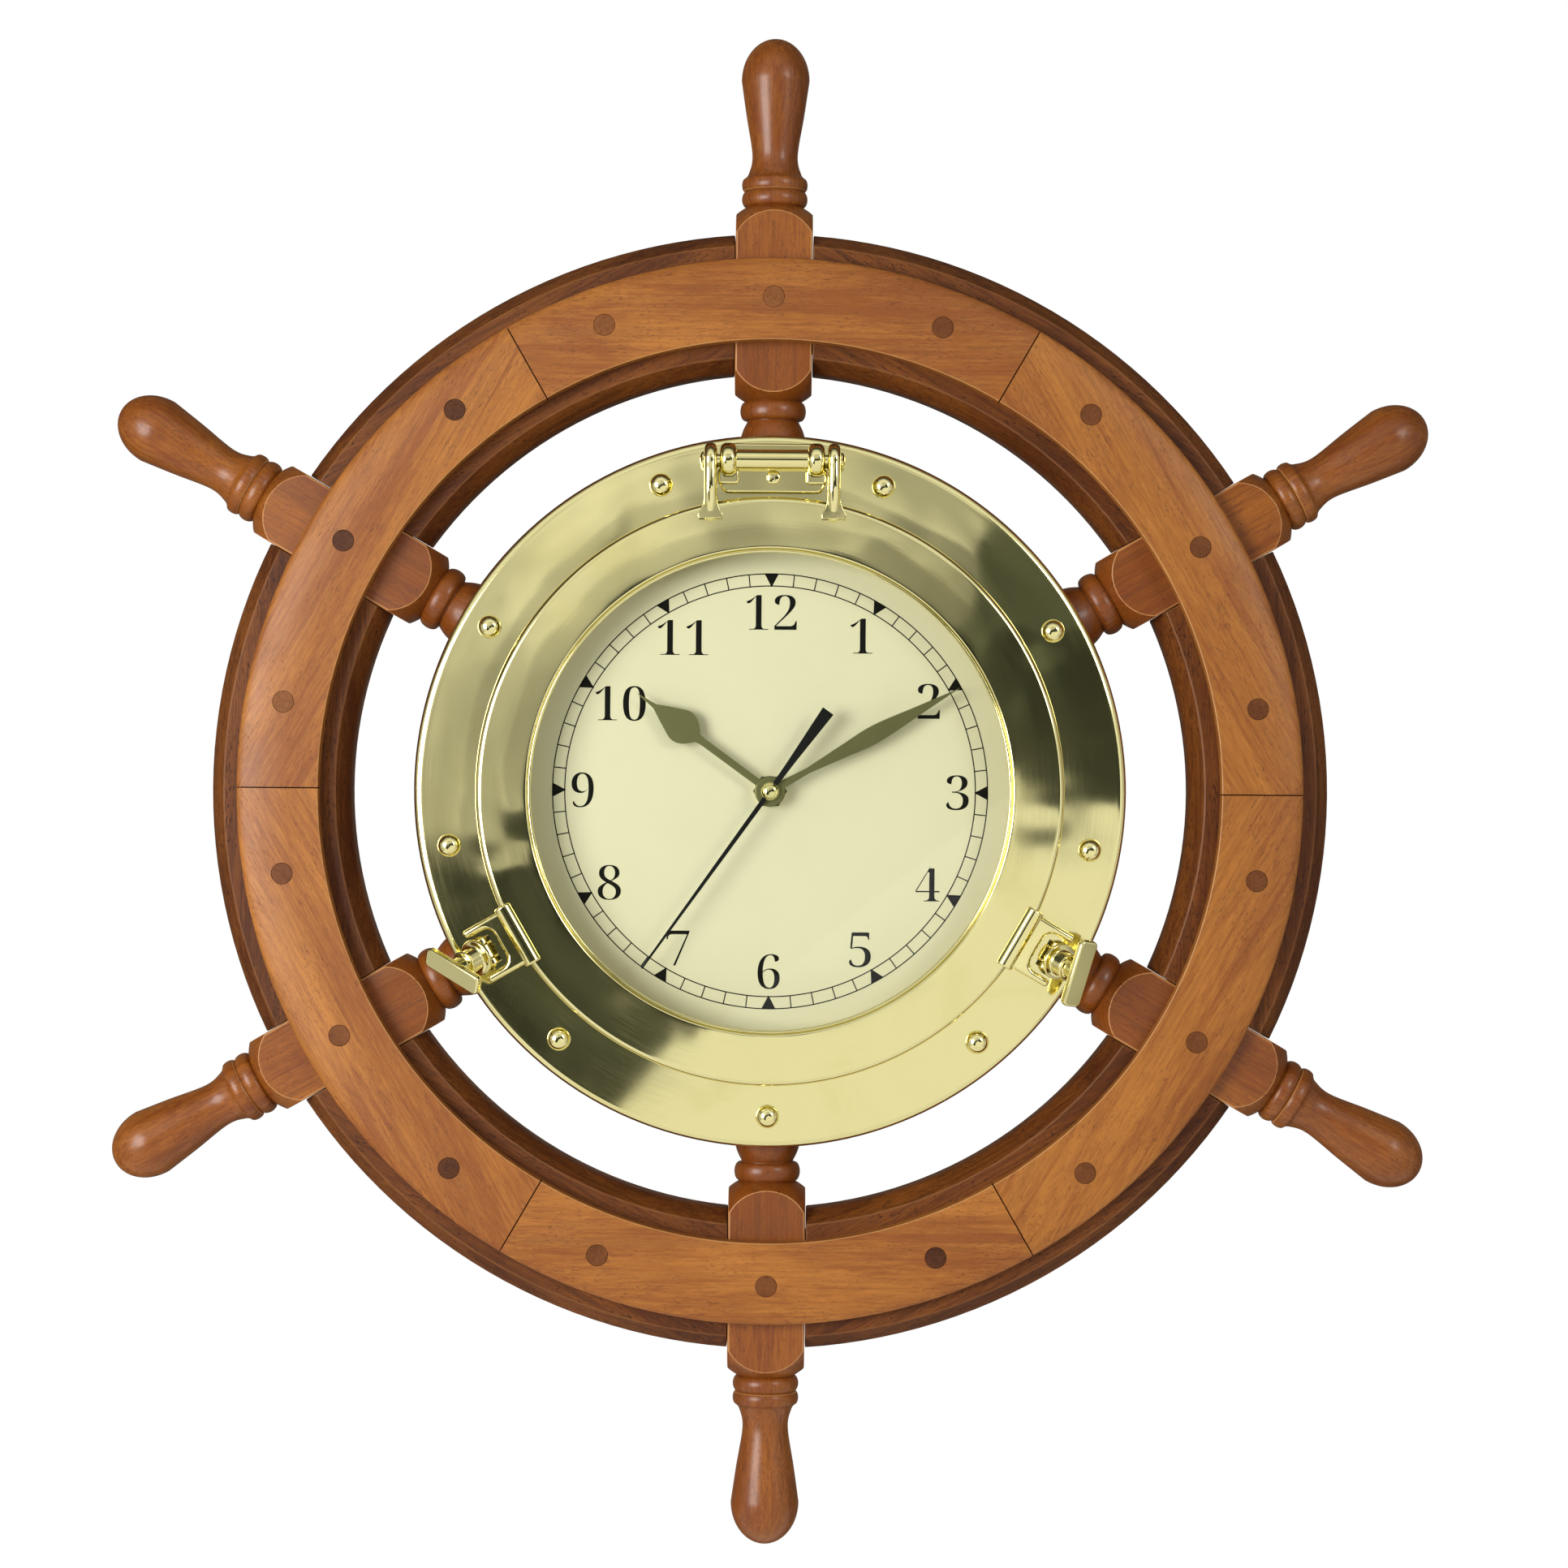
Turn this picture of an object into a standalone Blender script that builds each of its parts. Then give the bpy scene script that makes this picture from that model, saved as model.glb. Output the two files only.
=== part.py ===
"""Ship's wheel clock: a wooden wheel that hangs on a wall, with an opening brass porthole over a quartz clock.

The wheel's axis is the world Y axis and the wall is the plane y = 0. The dial faces -Y and 12 o'clock is +Z.
Everything is built on an empty whose own axes are: X to the right, Y up the dial, Z away from the wall.
"""

import math

import bmesh
import bpy
from mathutils import Matrix, Vector

MM = 0.001

# Fits
GAP = 0.3 * MM  # glue lines, seats and running fits

# Porthole, from the glass outwards
OPENING_RADIUS = 95.4 * MM  # clear view through the port ring
GLASS_LAP = 4.0 * MM  # glass behind the port ring's lip
GLASS_THICKNESS = 3.0 * MM
RETAINER_WIDTH = 3.2 * MM
RETAINER_THICKNESS = 1.0 * MM
LIP_THICKNESS = 1.4 * MM
BEZEL_WIDTH = 22.3 * MM  # port ring, opening to outer edge
BEZEL_THICKNESS = 8.0 * MM
BEZEL_ROLL = 2.2 * MM  # rounded outer edge of the port ring
FLANGE_MARGIN = 25.1 * MM  # flange shown outside the port ring
FLANGE_THICKNESS = 4.0 * MM
FLANGE_ROLL = 3.6 * MM
COLLAR_CLEARANCE = 3.6 * MM  # glass edge to the flange's bore
COLLAR_WALL = 2.0 * MM
SCREW_COUNT = 9
SCREW_HEAD_RADIUS = 4.65 * MM
SCREW_HEAD_HEIGHT = 3.2 * MM
SCREW_SHANK_RADIUS = 2.0 * MM
SCREW_BITE = 6.0 * MM  # screw in the wood

# Port hinge
HINGE_SETBACK = 14.6 * MM  # port ring's edge to the pin
EYE_RADIUS = 5.8 * MM
EYE_CLEARANCE = 0.9 * MM
HINGE_PIN_RADIUS = 2.0 * MM
HINGE_PIN_HEAD_RADIUS = 3.0 * MM
HINGE_PIN_HEAD = 1.6 * MM
BARREL_RADIUS = 4.0 * MM
BARREL_LENGTH = 31.0 * MM
KNUCKLE_WIDTH = 5.4 * MM
BRACKET_THICKNESS = 2.0 * MM
BRACKET_TAIL = 6.8 * MM  # base plate beyond the pin
BRACKET_CORNER = 3.5 * MM
ARM_WIDTH = 5.0 * MM
ARM_SIDE_GAP = 1.2 * MM
ARM_FOOT = 10.5 * MM  # arm's foot on the port ring, from its outer edge

# Swing bolts
DOG_ANGLES = {"right": 120.0, "left": 240.0}
DOG_LEAN = {"right": 36.0, "left": 44.0}  # outward lean from upright
DOG_BAR_TURN = {"right": 17.5, "left": 40.0}
DOG_SETBACK = 12.3 * MM  # port ring's edge to the pivot
DOG_PIVOT_HEIGHT = 3.6 * MM
DOG_PIN_RADIUS = 1.25 * MM
DOG_EYE_RADIUS = 2.9 * MM
DOG_EYE_WIDTH = 5.8 * MM
EAR_WIDTH = 2.7 * MM
BOLT_RADIUS = 2.6 * MM
BOLT_LENGTH = 16.0 * MM
NUT_START = 5.6 * MM  # pivot to the nut's lower face
NUT_FLANGE_RADIUS = 7.5 * MM
NUT_FLANGE_THICKNESS = 1.4 * MM
NUT_BOSS_RADIUS = 4.8 * MM
NUT_COLLAR_RADIUS = 5.6 * MM
NUT_LENGTH = 13.0 * MM
BAR_LENGTH = 27.5 * MM
BAR_WIDTH = 8.5 * MM
BAR_THICKNESS = 3.0 * MM
BAR_CORNER = 2.0 * MM
FORK_WIDTH = 22.2 * MM
FORK_REACH = 16.8 * MM  # prong tips outside the port ring
FORK_PRONG = 2.3 * MM
FORK_THICKNESS = 3.0 * MM
FORK_ROOT = 5.8 * MM
FORK_NOTCH_CORNER = 4.0 * MM

# Hub
FLANGE_OVERHANG = 8.8 * MM
DIAL_LAP = 8.0 * MM  # ledge that the dial lies on
COVER_THICKNESS = 3.0 * MM
COVER_LAP = 9.0 * MM
HANGER_WIDTH = 40.0 * MM
HANGER_HEIGHT = 20.0 * MM
HANGER_THICKNESS = 2.0 * MM
KEYHOLE_RADIUS = 4.2 * MM
KEYHOLE_SLOT = 4.6 * MM
KEYHOLE_RISE = 7.0 * MM
KEYHOLE_POCKET_DEPTH = 8.0 * MM
KEYHOLE_POCKET_MARGIN = 1.0 * MM

# Wheel
SPOKE_COUNT = 6
RIM_GAP = 26.4 * MM  # open ring between the flange and the rim
CORE_OVERHANG = 11.3 * MM  # felloe shown inside and outside the facings
FACING_WIDTH = 33.0 * MM
FACING_THICKNESS = 9.0 * MM
FACING_ROUND_WIDTH = 9.0 * MM
FACING_ROUND_DROP = 4.0 * MM
MOULD_WIDTH = 5.4 * MM  # rounded edge of a felloe
MOULD_DROP = 7.0 * MM
QUIRK = 1.4 * MM  # small step at the foot of that edge
SPOKE_SIDE = 31.0 * MM
BLOCK_REACH = 8.7 * MM  # square block shown beyond the felloes
SHOULDER_LENGTH = 2.9 * MM  # block's end to the neck beside it
SHOULDER_RUN = 10.8 * MM  # block's end to where its corners are whole
NECK_RADIUS = 11.3 * MM
BEAD_RADIUS = 13.3 * MM
INNER_BEAD_LENGTH = 7.6 * MM
LARGE_BEAD_LENGTH = 6.5 * MM
SMALL_BEAD_LENGTH = 5.1 * MM
GROOVE_RADIUS = 12.2 * MM
ANKLE_RADIUS = 10.3 * MM
ANKLE_FLARE_RADIUS = 14.2 * MM
GRIP_LENGTH = 56.8 * MM
GRIP_RADIUS = 13.75 * MM
WAIST_RADIUS = 9.2 * MM
TENON_RADIUS = 8.0 * MM
TENON_LENGTH = 17.0 * MM

# Clock
DIAL_DEPTH = 7.3 * MM  # dial below the hub's front
DIAL_THICKNESS = 1.0 * MM
BUSH_RADIUS = 4.0 * MM
BUSH_RISE = 3.6 * MM  # bush in front of the dial
BUSH_WALL = 0.8 * MM
FIXING_NUT_RADIUS = 6.8 * MM
FIXING_NUT_THICKNESS = 2.4 * MM
PIPE_WALL = 0.9 * MM  # hour pipe
ARBOR_WALL = 0.8 * MM  # minute arbor
HAND_THICKNESS = 0.6 * MM
HAND_STEP = 2.2 * MM  # hand to hand
HOUR_HAND_LENGTH = 66.8 * MM
HOUR_BULB_REACH = 44.6 * MM
HOUR_BULB_WIDTH = 13.7 * MM
HOUR_BOSS_RADIUS = 6.2 * MM
MINUTE_HAND_LENGTH = 87.3 * MM
MINUTE_LEAF_WIDTH = 7.2 * MM
MINUTE_BOSS_RADIUS = 5.85 * MM
SECOND_HAND_LENGTH = 87.7 * MM
SECOND_TAIL_LENGTH = 39.8 * MM
SECOND_TAIL_WIDTH = 5.2 * MM
SECOND_CAP_RADIUS = 3.6 * MM
SECOND_CAP_HEIGHT = 1.2 * MM
HAND_ANGLES = {"hour": 306.0, "minute": 61.0, "second": 215.5}
CASE_SIDE = 56.0 * MM
CASE_DEPTH = 17.0 * MM
CASE_WALL = 1.5 * MM
CASE_CORNER = 4.0 * MM
CASE_COVER_THICKNESS = 1.5 * MM
BATTERY_RADIUS = 7.1 * MM
BATTERY_LENGTH = 50.0 * MM
GEAR_THICKNESS = 1.2 * MM
GEAR_OVERLAP = 0.3 * MM  # pinions stand proud of their wheels
HOUR_GEAR_DROP = 1.4 * MM  # below the case's front wall
GEAR_PLANES = 3.6 * MM  # between the two gear planes
CENTRE_DISTANCE = 12.0 * MM
CANNON_TEETH = 8
MINUTE_WHEEL_TEETH = 24
MINUTE_PINION_TEETH = 8
HOUR_WHEEL_TEETH = 32
KNOB_TEETH_ROUND = 7  # minute wheel's teeth from the cannon pinion round to the knob
STUD_RADIUS = 0.9 * MM
KNOB_RADIUS = 6.0 * MM
KNOB_HEIGHT = 6.0 * MM
KNOB_SHAFT_RADIUS = 1.2 * MM

# Fineness of the round pieces
RING_STEPS = 42
SPOKE_STEPS = 12
SMALL_STEPS = 14
SEGMENT_STEPS = 6

# Radii, from the glass to the handles
GLASS_RADIUS = OPENING_RADIUS + GLASS_LAP
REBATE_RADIUS = GLASS_RADIUS + GAP
FLANGE_BORE = GLASS_RADIUS + COLLAR_CLEARANCE
DIAL_RADIUS = FLANGE_BORE + COLLAR_WALL
HUB_FRONT_BORE = DIAL_RADIUS + GAP
HUB_BORE = DIAL_RADIUS - DIAL_LAP
COVER_RADIUS = HUB_BORE + COVER_LAP
BEZEL_RADIUS = OPENING_RADIUS + BEZEL_WIDTH
FLANGE_RADIUS = BEZEL_RADIUS + FLANGE_MARGIN
SCREW_CIRCLE = BEZEL_RADIUS + FLANGE_MARGIN / 2
HUB_RADIUS = FLANGE_RADIUS - FLANGE_OVERHANG
HINGE_RADIUS = BEZEL_RADIUS + HINGE_SETBACK
DOG_RADIUS = BEZEL_RADIUS + DOG_SETBACK
CORE_INNER = FLANGE_RADIUS + RIM_GAP
FACING_INNER = CORE_INNER + CORE_OVERHANG
FACING_OUTER = FACING_INNER + FACING_WIDTH
CORE_OUTER = FACING_OUTER + CORE_OVERHANG
BLOCK_INNER = CORE_INNER - BLOCK_REACH
BLOCK_OUTER = CORE_OUTER + BLOCK_REACH

# Heights above the wall
CORE_BACK = FACING_THICKNESS + GAP
CORE_FRONT = CORE_BACK + SPOKE_SIDE
SPOKE_HEIGHT = CORE_BACK + SPOKE_SIDE / 2
FACING_BACK = CORE_FRONT + GAP
FLANGE_BACK = CORE_FRONT + GAP
FLANGE_FRONT = FLANGE_BACK + FLANGE_THICKNESS
BEZEL_BACK = FLANGE_FRONT + GAP
BEZEL_FRONT = BEZEL_BACK + BEZEL_THICKNESS
GLASS_BACK = BEZEL_BACK + RETAINER_THICKNESS + GAP
LIP_BACK = GLASS_BACK + GLASS_THICKNESS + GAP
LIP_FRONT = LIP_BACK + LIP_THICKNESS
HINGE_HEIGHT = FLANGE_FRONT + EYE_RADIUS + EYE_CLEARANCE
DOG_HEIGHT = FLANGE_FRONT + DOG_PIVOT_HEIGHT
DIAL_FRONT = CORE_FRONT - DIAL_DEPTH
DIAL_BACK = DIAL_FRONT - DIAL_THICKNESS
DIAL_LEDGE = DIAL_BACK - GAP
CASE_FRONT = DIAL_BACK - GAP
CASE_INSIDE = CASE_FRONT - CASE_WALL
CASE_BACK = CASE_FRONT - CASE_DEPTH
CASE_COVER_BACK = CASE_BACK - GAP - CASE_COVER_THICKNESS
BUSH_TOP = DIAL_FRONT + BUSH_RISE
HOUR_HAND_BACK = BUSH_TOP + 1.2 * MM
MINUTE_HAND_BACK = HOUR_HAND_BACK + HAND_STEP
SECOND_HAND_BACK = MINUTE_HAND_BACK + HAND_STEP
HOUR_GEAR_BACK = CASE_INSIDE - HOUR_GEAR_DROP - GEAR_THICKNESS
MINUTE_GEAR_BACK = HOUR_GEAR_BACK - GEAR_PLANES

# Radii on the hands' axis, from the bush inwards
BUSH_BORE = BUSH_RADIUS - BUSH_WALL
PIPE_RADIUS = BUSH_BORE - GAP
PIPE_BORE = PIPE_RADIUS - PIPE_WALL
ARBOR_RADIUS = PIPE_BORE - GAP
ARBOR_BORE = ARBOR_RADIUS - ARBOR_WALL
SPINDLE_RADIUS = ARBOR_BORE - GAP

# Maps the outline of a plate that stands on edge to Y and Z, with its thickness along X
ON_EDGE = Matrix(((0, 0, 1, 0), (1, 0, 0, 0), (0, 1, 0, 0), (0, 0, 0, 1)))


def clear_scene():
    """Empties the scene."""
    for piece in list(bpy.data.objects):
        bpy.data.objects.remove(piece)


def collection(name):
    """Returns a new collection in the scene."""
    made = bpy.data.collections.new(name)
    bpy.context.scene.collection.children.link(made)
    return made


def finish(name, colour, metallic, roughness):
    """Returns a plain material."""
    made = bpy.data.materials.new(name)
    made.use_nodes = True
    shader = made.node_tree.nodes["Principled BSDF"]
    shader.inputs["Base Color"].default_value = (*colour, 1.0)
    shader.inputs["Metallic"].default_value = metallic
    shader.inputs["Roughness"].default_value = roughness
    return made


clear_scene()
CLOCK = collection("ships_wheel_clock")
CUTTERS = collection("cutters")

FACE = bpy.data.objects.new("clock_face_frame", None)
FACE.rotation_euler = (math.pi / 2, 0, 0)
CLOCK.objects.link(FACE)

BEECH = finish("varnished_beech", (0.42, 0.19, 0.07), 0.0, 0.32)
FELLOE_WOOD = finish("dark_felloe_wood", (0.2, 0.075, 0.028), 0.0, 0.38)
SPOKE_WOOD = finish("turned_spoke_wood", (0.27, 0.095, 0.036), 0.0, 0.3)
PLYWOOD = finish("back_plywood", (0.36, 0.22, 0.11), 0.0, 0.6)
BRASS = finish("polished_brass", (0.75, 0.62, 0.28), 1.0, 0.18)
HAND_BRASS = finish("hand_brass", (0.38, 0.31, 0.13), 1.0, 0.35)
STEEL = finish("zinc_plated_steel", (0.56, 0.57, 0.58), 1.0, 0.35)
GLASS = finish("port_glass", (0.9, 0.95, 0.94), 0.0, 0.03)
DIAL_PAPER = finish("cream_dial", (0.8, 0.77, 0.6), 0.0, 0.5)
BLACK_PLASTIC = finish("black_plastic", (0.02, 0.02, 0.02), 0.0, 0.45)
WHITE_PLASTIC = finish("gear_plastic", (0.75, 0.74, 0.7), 0.0, 0.4)
BLACK_METAL = finish("black_lacquer", (0.012, 0.012, 0.012), 0.0, 0.4)
CELL = finish("battery_sleeve", (0.03, 0.05, 0.12), 0.2, 0.35)


def empty(name, location, rotation=(0, 0, 0), parent=None):
    """Returns an empty that carries moving pieces on their joint's axis."""
    made = bpy.data.objects.new(name, None)
    made.parent = parent or FACE
    made.location = location
    made.rotation_euler = rotation
    CLOCK.objects.link(made)
    return made


def add(name, mesh, surface=None, parent=None, location=(0, 0, 0), rotation=(0, 0, 0)):
    """Adds a piece of the clock, or a hidden helper where no surface is given."""
    piece = bpy.data.objects.new(name, mesh)
    piece.parent = parent or FACE
    piece.location = location
    piece.rotation_euler = rotation
    if surface is None:
        piece.hide_render = True
        piece.display_type = "WIRE"
        CUTTERS.objects.link(piece)
    else:
        mesh.materials.clear()
        mesh.materials.append(surface)
        CLOCK.objects.link(piece)
    return piece


def combine(piece, helper, operation):
    """Cuts the helper from a piece, joins it on, or keeps what both fill."""
    change = piece.modifiers.new(helper.name, "BOOLEAN")
    change.operation = operation
    change.solver = "EXACT"
    change.object = helper
    return piece


def finished_mesh(piece):
    """Returns the mesh of a piece with its modifiers applied."""
    bpy.context.view_layer.update()
    graph = bpy.context.evaluated_depsgraph_get()
    return bpy.data.meshes.new_from_object(piece.evaluated_get(graph))


def turned(name, profile, steps, surface=None, ring=False, **place):
    """Turns a profile of (radius, height) points round Z; a ring's profile closes on itself."""
    mesh = bpy.data.meshes.new(name)
    ends = [(i, i + 1) for i in range(len(profile) - 1)]
    if ring:
        ends.append((len(profile) - 1, 0))
    mesh.from_pydata([(radius, 0, height) for radius, height in profile], ends, [])
    piece = add(name, mesh, surface, **place)
    turn = piece.modifiers.new("turn", "SCREW")
    turn.axis = "Z"
    turn.steps = steps
    turn.render_steps = steps
    turn.use_merge_vertices = True
    turn.merge_threshold = 0.00001
    turn.use_smooth_shade = True
    return piece


def plate_mesh(name, outlines, thickness, base=0.0):
    """Returns a flat plate on XY: the first outline is its edge and the others are holes in it."""
    curve = bpy.data.curves.new(name, "CURVE")
    curve.dimensions = "2D"
    curve.fill_mode = "BOTH"
    curve.extrude = thickness / 2
    for outline in outlines:
        spline = curve.splines.new("POLY")
        spline.points.add(len(outline) - 1)
        for point, (x, y) in zip(spline.points, outline):
            point.co = (x, y, 0, 1)
        spline.use_cyclic_u = True
    guide = bpy.data.objects.new(name, curve)
    CUTTERS.objects.link(guide)
    mesh = finished_mesh(guide)
    bpy.data.objects.remove(guide)
    solid = bmesh.new()
    solid.from_mesh(mesh)
    bmesh.ops.remove_doubles(solid, verts=solid.verts[:], dist=0.000001)
    bmesh.ops.recalc_face_normals(solid, faces=solid.faces[:])
    solid.to_mesh(mesh)
    solid.free()
    mesh.transform(Matrix.Translation((0, 0, base + thickness / 2)))
    return mesh


def plate(name, outlines, thickness, base=0.0, surface=None, matrix=None, **place):
    """Adds a flat plate; a matrix moves it inside its own frame."""
    mesh = plate_mesh(name, outlines, thickness, base)
    if matrix is not None:
        mesh.transform(matrix)
    return add(name, mesh, surface, **place)


def rods(name, radius, length, matrices, steps=SMALL_STEPS, surface=None, **place):
    """Adds one or more separate cylinders, each lying along Z and centred before its matrix moves it."""
    solid = bmesh.new()
    for matrix in matrices:
        bmesh.ops.create_cone(
            solid,
            cap_ends=True,
            segments=steps,
            radius1=radius,
            radius2=radius,
            depth=length,
            matrix=matrix,
        )
    mesh = bpy.data.meshes.new(name)
    solid.to_mesh(mesh)
    solid.free()
    return add(name, mesh, surface, **place)


def block(name, size, centre, surface=None, **place):
    """Adds a box."""
    solid = bmesh.new()
    bmesh.ops.create_cube(
        solid, size=1.0, matrix=Matrix.Translation(centre) @ Matrix.Diagonal((*size, 1.0))
    )
    mesh = bpy.data.meshes.new(name)
    solid.to_mesh(mesh)
    solid.free()
    return add(name, mesh, surface, **place)


def arc(centre, radius, start, end, count):
    """Returns count + 1 points of an arc between two angles in degrees, counted anticlockwise from X."""
    points = []
    for step in range(count + 1):
        angle = math.radians(start + (end - start) * step / count)
        points.append((centre[0] + radius * math.cos(angle), centre[1] + radius * math.sin(angle)))
    return points


def oval_arc(centre, across, along, start, end, count):
    """Returns an arc as arc() does, with its own half width each way."""
    return [
        (centre[0] + across * x, centre[1] + along * y) for x, y in arc((0, 0), 1.0, start, end, count)
    ]


def circle(centre, radius, count):
    """Returns a closed circle's points."""
    return arc(centre, radius, 0, 360, count)[:-1]


def arc_through(first, middle, last, count):
    """Returns points along the circular arc through three points."""
    (ax, ay), (bx, by), (cx, cy) = first, middle, last
    twice_area = 2 * (ax * (by - cy) + bx * (cy - ay) + cx * (ay - by))
    a2, b2, c2 = ax * ax + ay * ay, bx * bx + by * by, cx * cx + cy * cy
    x = (a2 * (by - cy) + b2 * (cy - ay) + c2 * (ay - by)) / twice_area
    y = (a2 * (cx - bx) + b2 * (ax - cx) + c2 * (bx - ax)) / twice_area
    start = math.atan2(ay - y, ax - x)
    end = math.atan2(cy - y, cx - x)
    turn = (end - start + math.pi) % (2 * math.pi) - math.pi
    return arc((x, y), math.hypot(ax - x, ay - y), math.degrees(start), math.degrees(start + turn), count)


def smooth(points, per_span):
    """Returns a smooth curve through the points, with per_span steps between neighbours."""
    path = []
    for i in range(len(points) - 1):
        before = points[max(i - 1, 0)]
        start, end = points[i], points[i + 1]
        after = points[min(i + 2, len(points) - 1)]
        for step in range(per_span):
            t = step / per_span
            path.append(
                tuple(
                    0.5
                    * (
                        2 * start[k]
                        + (end[k] - before[k]) * t
                        + (2 * before[k] - 5 * start[k] + 4 * end[k] - after[k]) * t**2
                        + (3 * start[k] - before[k] - 3 * end[k] + after[k]) * t**3
                    )
                    for k in (0, 1)
                )
            )
    path.append(points[-1])
    return path


def rounded_rectangle(width, height, radius, count=3, centre=(0, 0)):
    """Returns a rectangle's outline with round corners."""
    outline = []
    for quarter, (sx, sy) in enumerate(((1, 1), (-1, 1), (-1, -1), (1, -1))):
        corner = (centre[0] + sx * (width / 2 - radius), centre[1] + sy * (height / 2 - radius))
        outline += arc(corner, radius, 90 * quarter, 90 * quarter + 90, count)
    return outline


def arch(radius, foot, count):
    """Returns an upright with a round top about an eye's axis and straight sides down to the foot."""
    return [(radius, foot)] + arc((0, 0), radius, 0, 180, count) + [(-radius, foot)]


def on_face(radius, degrees, height=0.0):
    """Returns the point at a radius and a clock angle, clockwise from 12."""
    angle = math.radians(degrees)
    return Vector((radius * math.sin(angle), radius * math.cos(angle), height))


def clock_turn(degrees):
    """Returns the rotation that carries 12 o'clock to a clock angle."""
    return (0, 0, -math.radians(degrees))


def swept(name, profile, half_angle, steps):
    """Returns a mesh of a (radius, height) profile carried round Z, half to each side of 12 o'clock."""
    solid = bmesh.new()
    start = Matrix.Rotation(math.radians(half_angle), 4, "Z")
    corners = [solid.verts.new(start @ Vector((0, radius, height))) for radius, height in profile]
    solid.faces.new(corners)
    bmesh.ops.spin(
        solid,
        geom=solid.verts[:] + solid.edges[:] + solid.faces[:],
        cent=(0, 0, 0),
        axis=(0, 0, 1),
        angle=-2 * math.radians(half_angle),
        steps=steps,
    )
    bmesh.ops.recalc_face_normals(solid, faces=solid.faces[:])
    mesh = bpy.data.meshes.new(name)
    solid.to_mesh(mesh)
    solid.free()
    return mesh


def trimmed(mesh, point, normal):
    """Cuts away what lies past a plane and closes the cut."""
    solid = bmesh.new()
    solid.from_mesh(mesh)
    cut = bmesh.ops.bisect_plane(
        solid,
        geom=solid.verts[:] + solid.edges[:] + solid.faces[:],
        plane_co=point,
        plane_no=normal,
        clear_outer=True,
    )
    rim = [part for part in cut["geom_cut"] if isinstance(part, bmesh.types.BMEdge)]
    bmesh.ops.edgeloop_fill(solid, edges=rim)
    bmesh.ops.recalc_face_normals(solid, faces=solid.faces[:])
    solid.to_mesh(mesh)
    solid.free()
    return mesh


def spoke_profile():
    """Returns a spoke's turned profile as (radius, distance from the wheel's axis), from its tip inwards."""
    corner = SPOKE_SIDE * math.sqrt(0.5) + GAP
    neck_in = BLOCK_INNER - SHOULDER_LENGTH
    neck_out = BLOCK_OUTER + SHOULDER_LENGTH
    ankle = neck_in - INNER_BEAD_LENGTH
    groove = neck_out + LARGE_BEAD_LENGTH
    grip = groove + SMALL_BEAD_LENGTH
    belly = grip + 0.7 * GRIP_LENGTH
    shoulder = HUB_RADIUS + GAP
    tenon_end = HUB_RADIUS - TENON_LENGTH

    def bead(start, length, low, high):
        """A bead between two heights, with its foot at the lower radius."""
        return oval_arc((low, start + length / 2), high - low, length / 2, -90, 90, 3)

    flare = ANKLE_FLARE_RADIUS - ANKLE_RADIUS
    ankle_length = ankle - shoulder
    ankle_curve = smooth(
        [
            (ANKLE_FLARE_RADIUS, shoulder),
            (ANKLE_FLARE_RADIUS - 0.1 * flare, shoulder + 0.35 * ankle_length),
            (ANKLE_FLARE_RADIUS - 0.7 * flare, shoulder + 0.8 * ankle_length),
            (ANKLE_RADIUS, ankle),
        ],
        1,
    )
    grip_curve = smooth(
        [
            (GROOVE_RADIUS, grip),
            (0.5 * (GROOVE_RADIUS + WAIST_RADIUS), grip + 0.035 * GRIP_LENGTH),
            (WAIST_RADIUS, grip + 0.17 * GRIP_LENGTH),
            (0.45 * WAIST_RADIUS + 0.55 * GRIP_RADIUS, grip + 0.45 * GRIP_LENGTH),
            (GRIP_RADIUS, belly),
        ],
        2,
    )
    tip = oval_arc((0, belly), GRIP_RADIUS, 0.3 * GRIP_LENGTH, 0, 90, 4)
    rising = (
        [(0, tenon_end), (TENON_RADIUS, tenon_end), (TENON_RADIUS, shoulder)]
        + ankle_curve
        + bead(ankle, INNER_BEAD_LENGTH, NECK_RADIUS, BEAD_RADIUS)
        + arc_through(
            (NECK_RADIUS, neck_in), (SPOKE_SIDE / 2, BLOCK_INNER), (corner, BLOCK_INNER + SHOULDER_RUN), 3
        )[1:]
        + arc_through(
            (corner, BLOCK_OUTER - SHOULDER_RUN), (SPOKE_SIDE / 2, BLOCK_OUTER), (NECK_RADIUS, neck_out), 3
        )[:-1]
        + bead(neck_out, LARGE_BEAD_LENGTH, NECK_RADIUS, BEAD_RADIUS)
        + bead(groove, SMALL_BEAD_LENGTH, GROOVE_RADIUS, BEAD_RADIUS)[1:]
        + grip_curve[1:]
        + tip[1:-1]
        + [(0, grip + GRIP_LENGTH)]
    )
    return rising[::-1]


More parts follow.
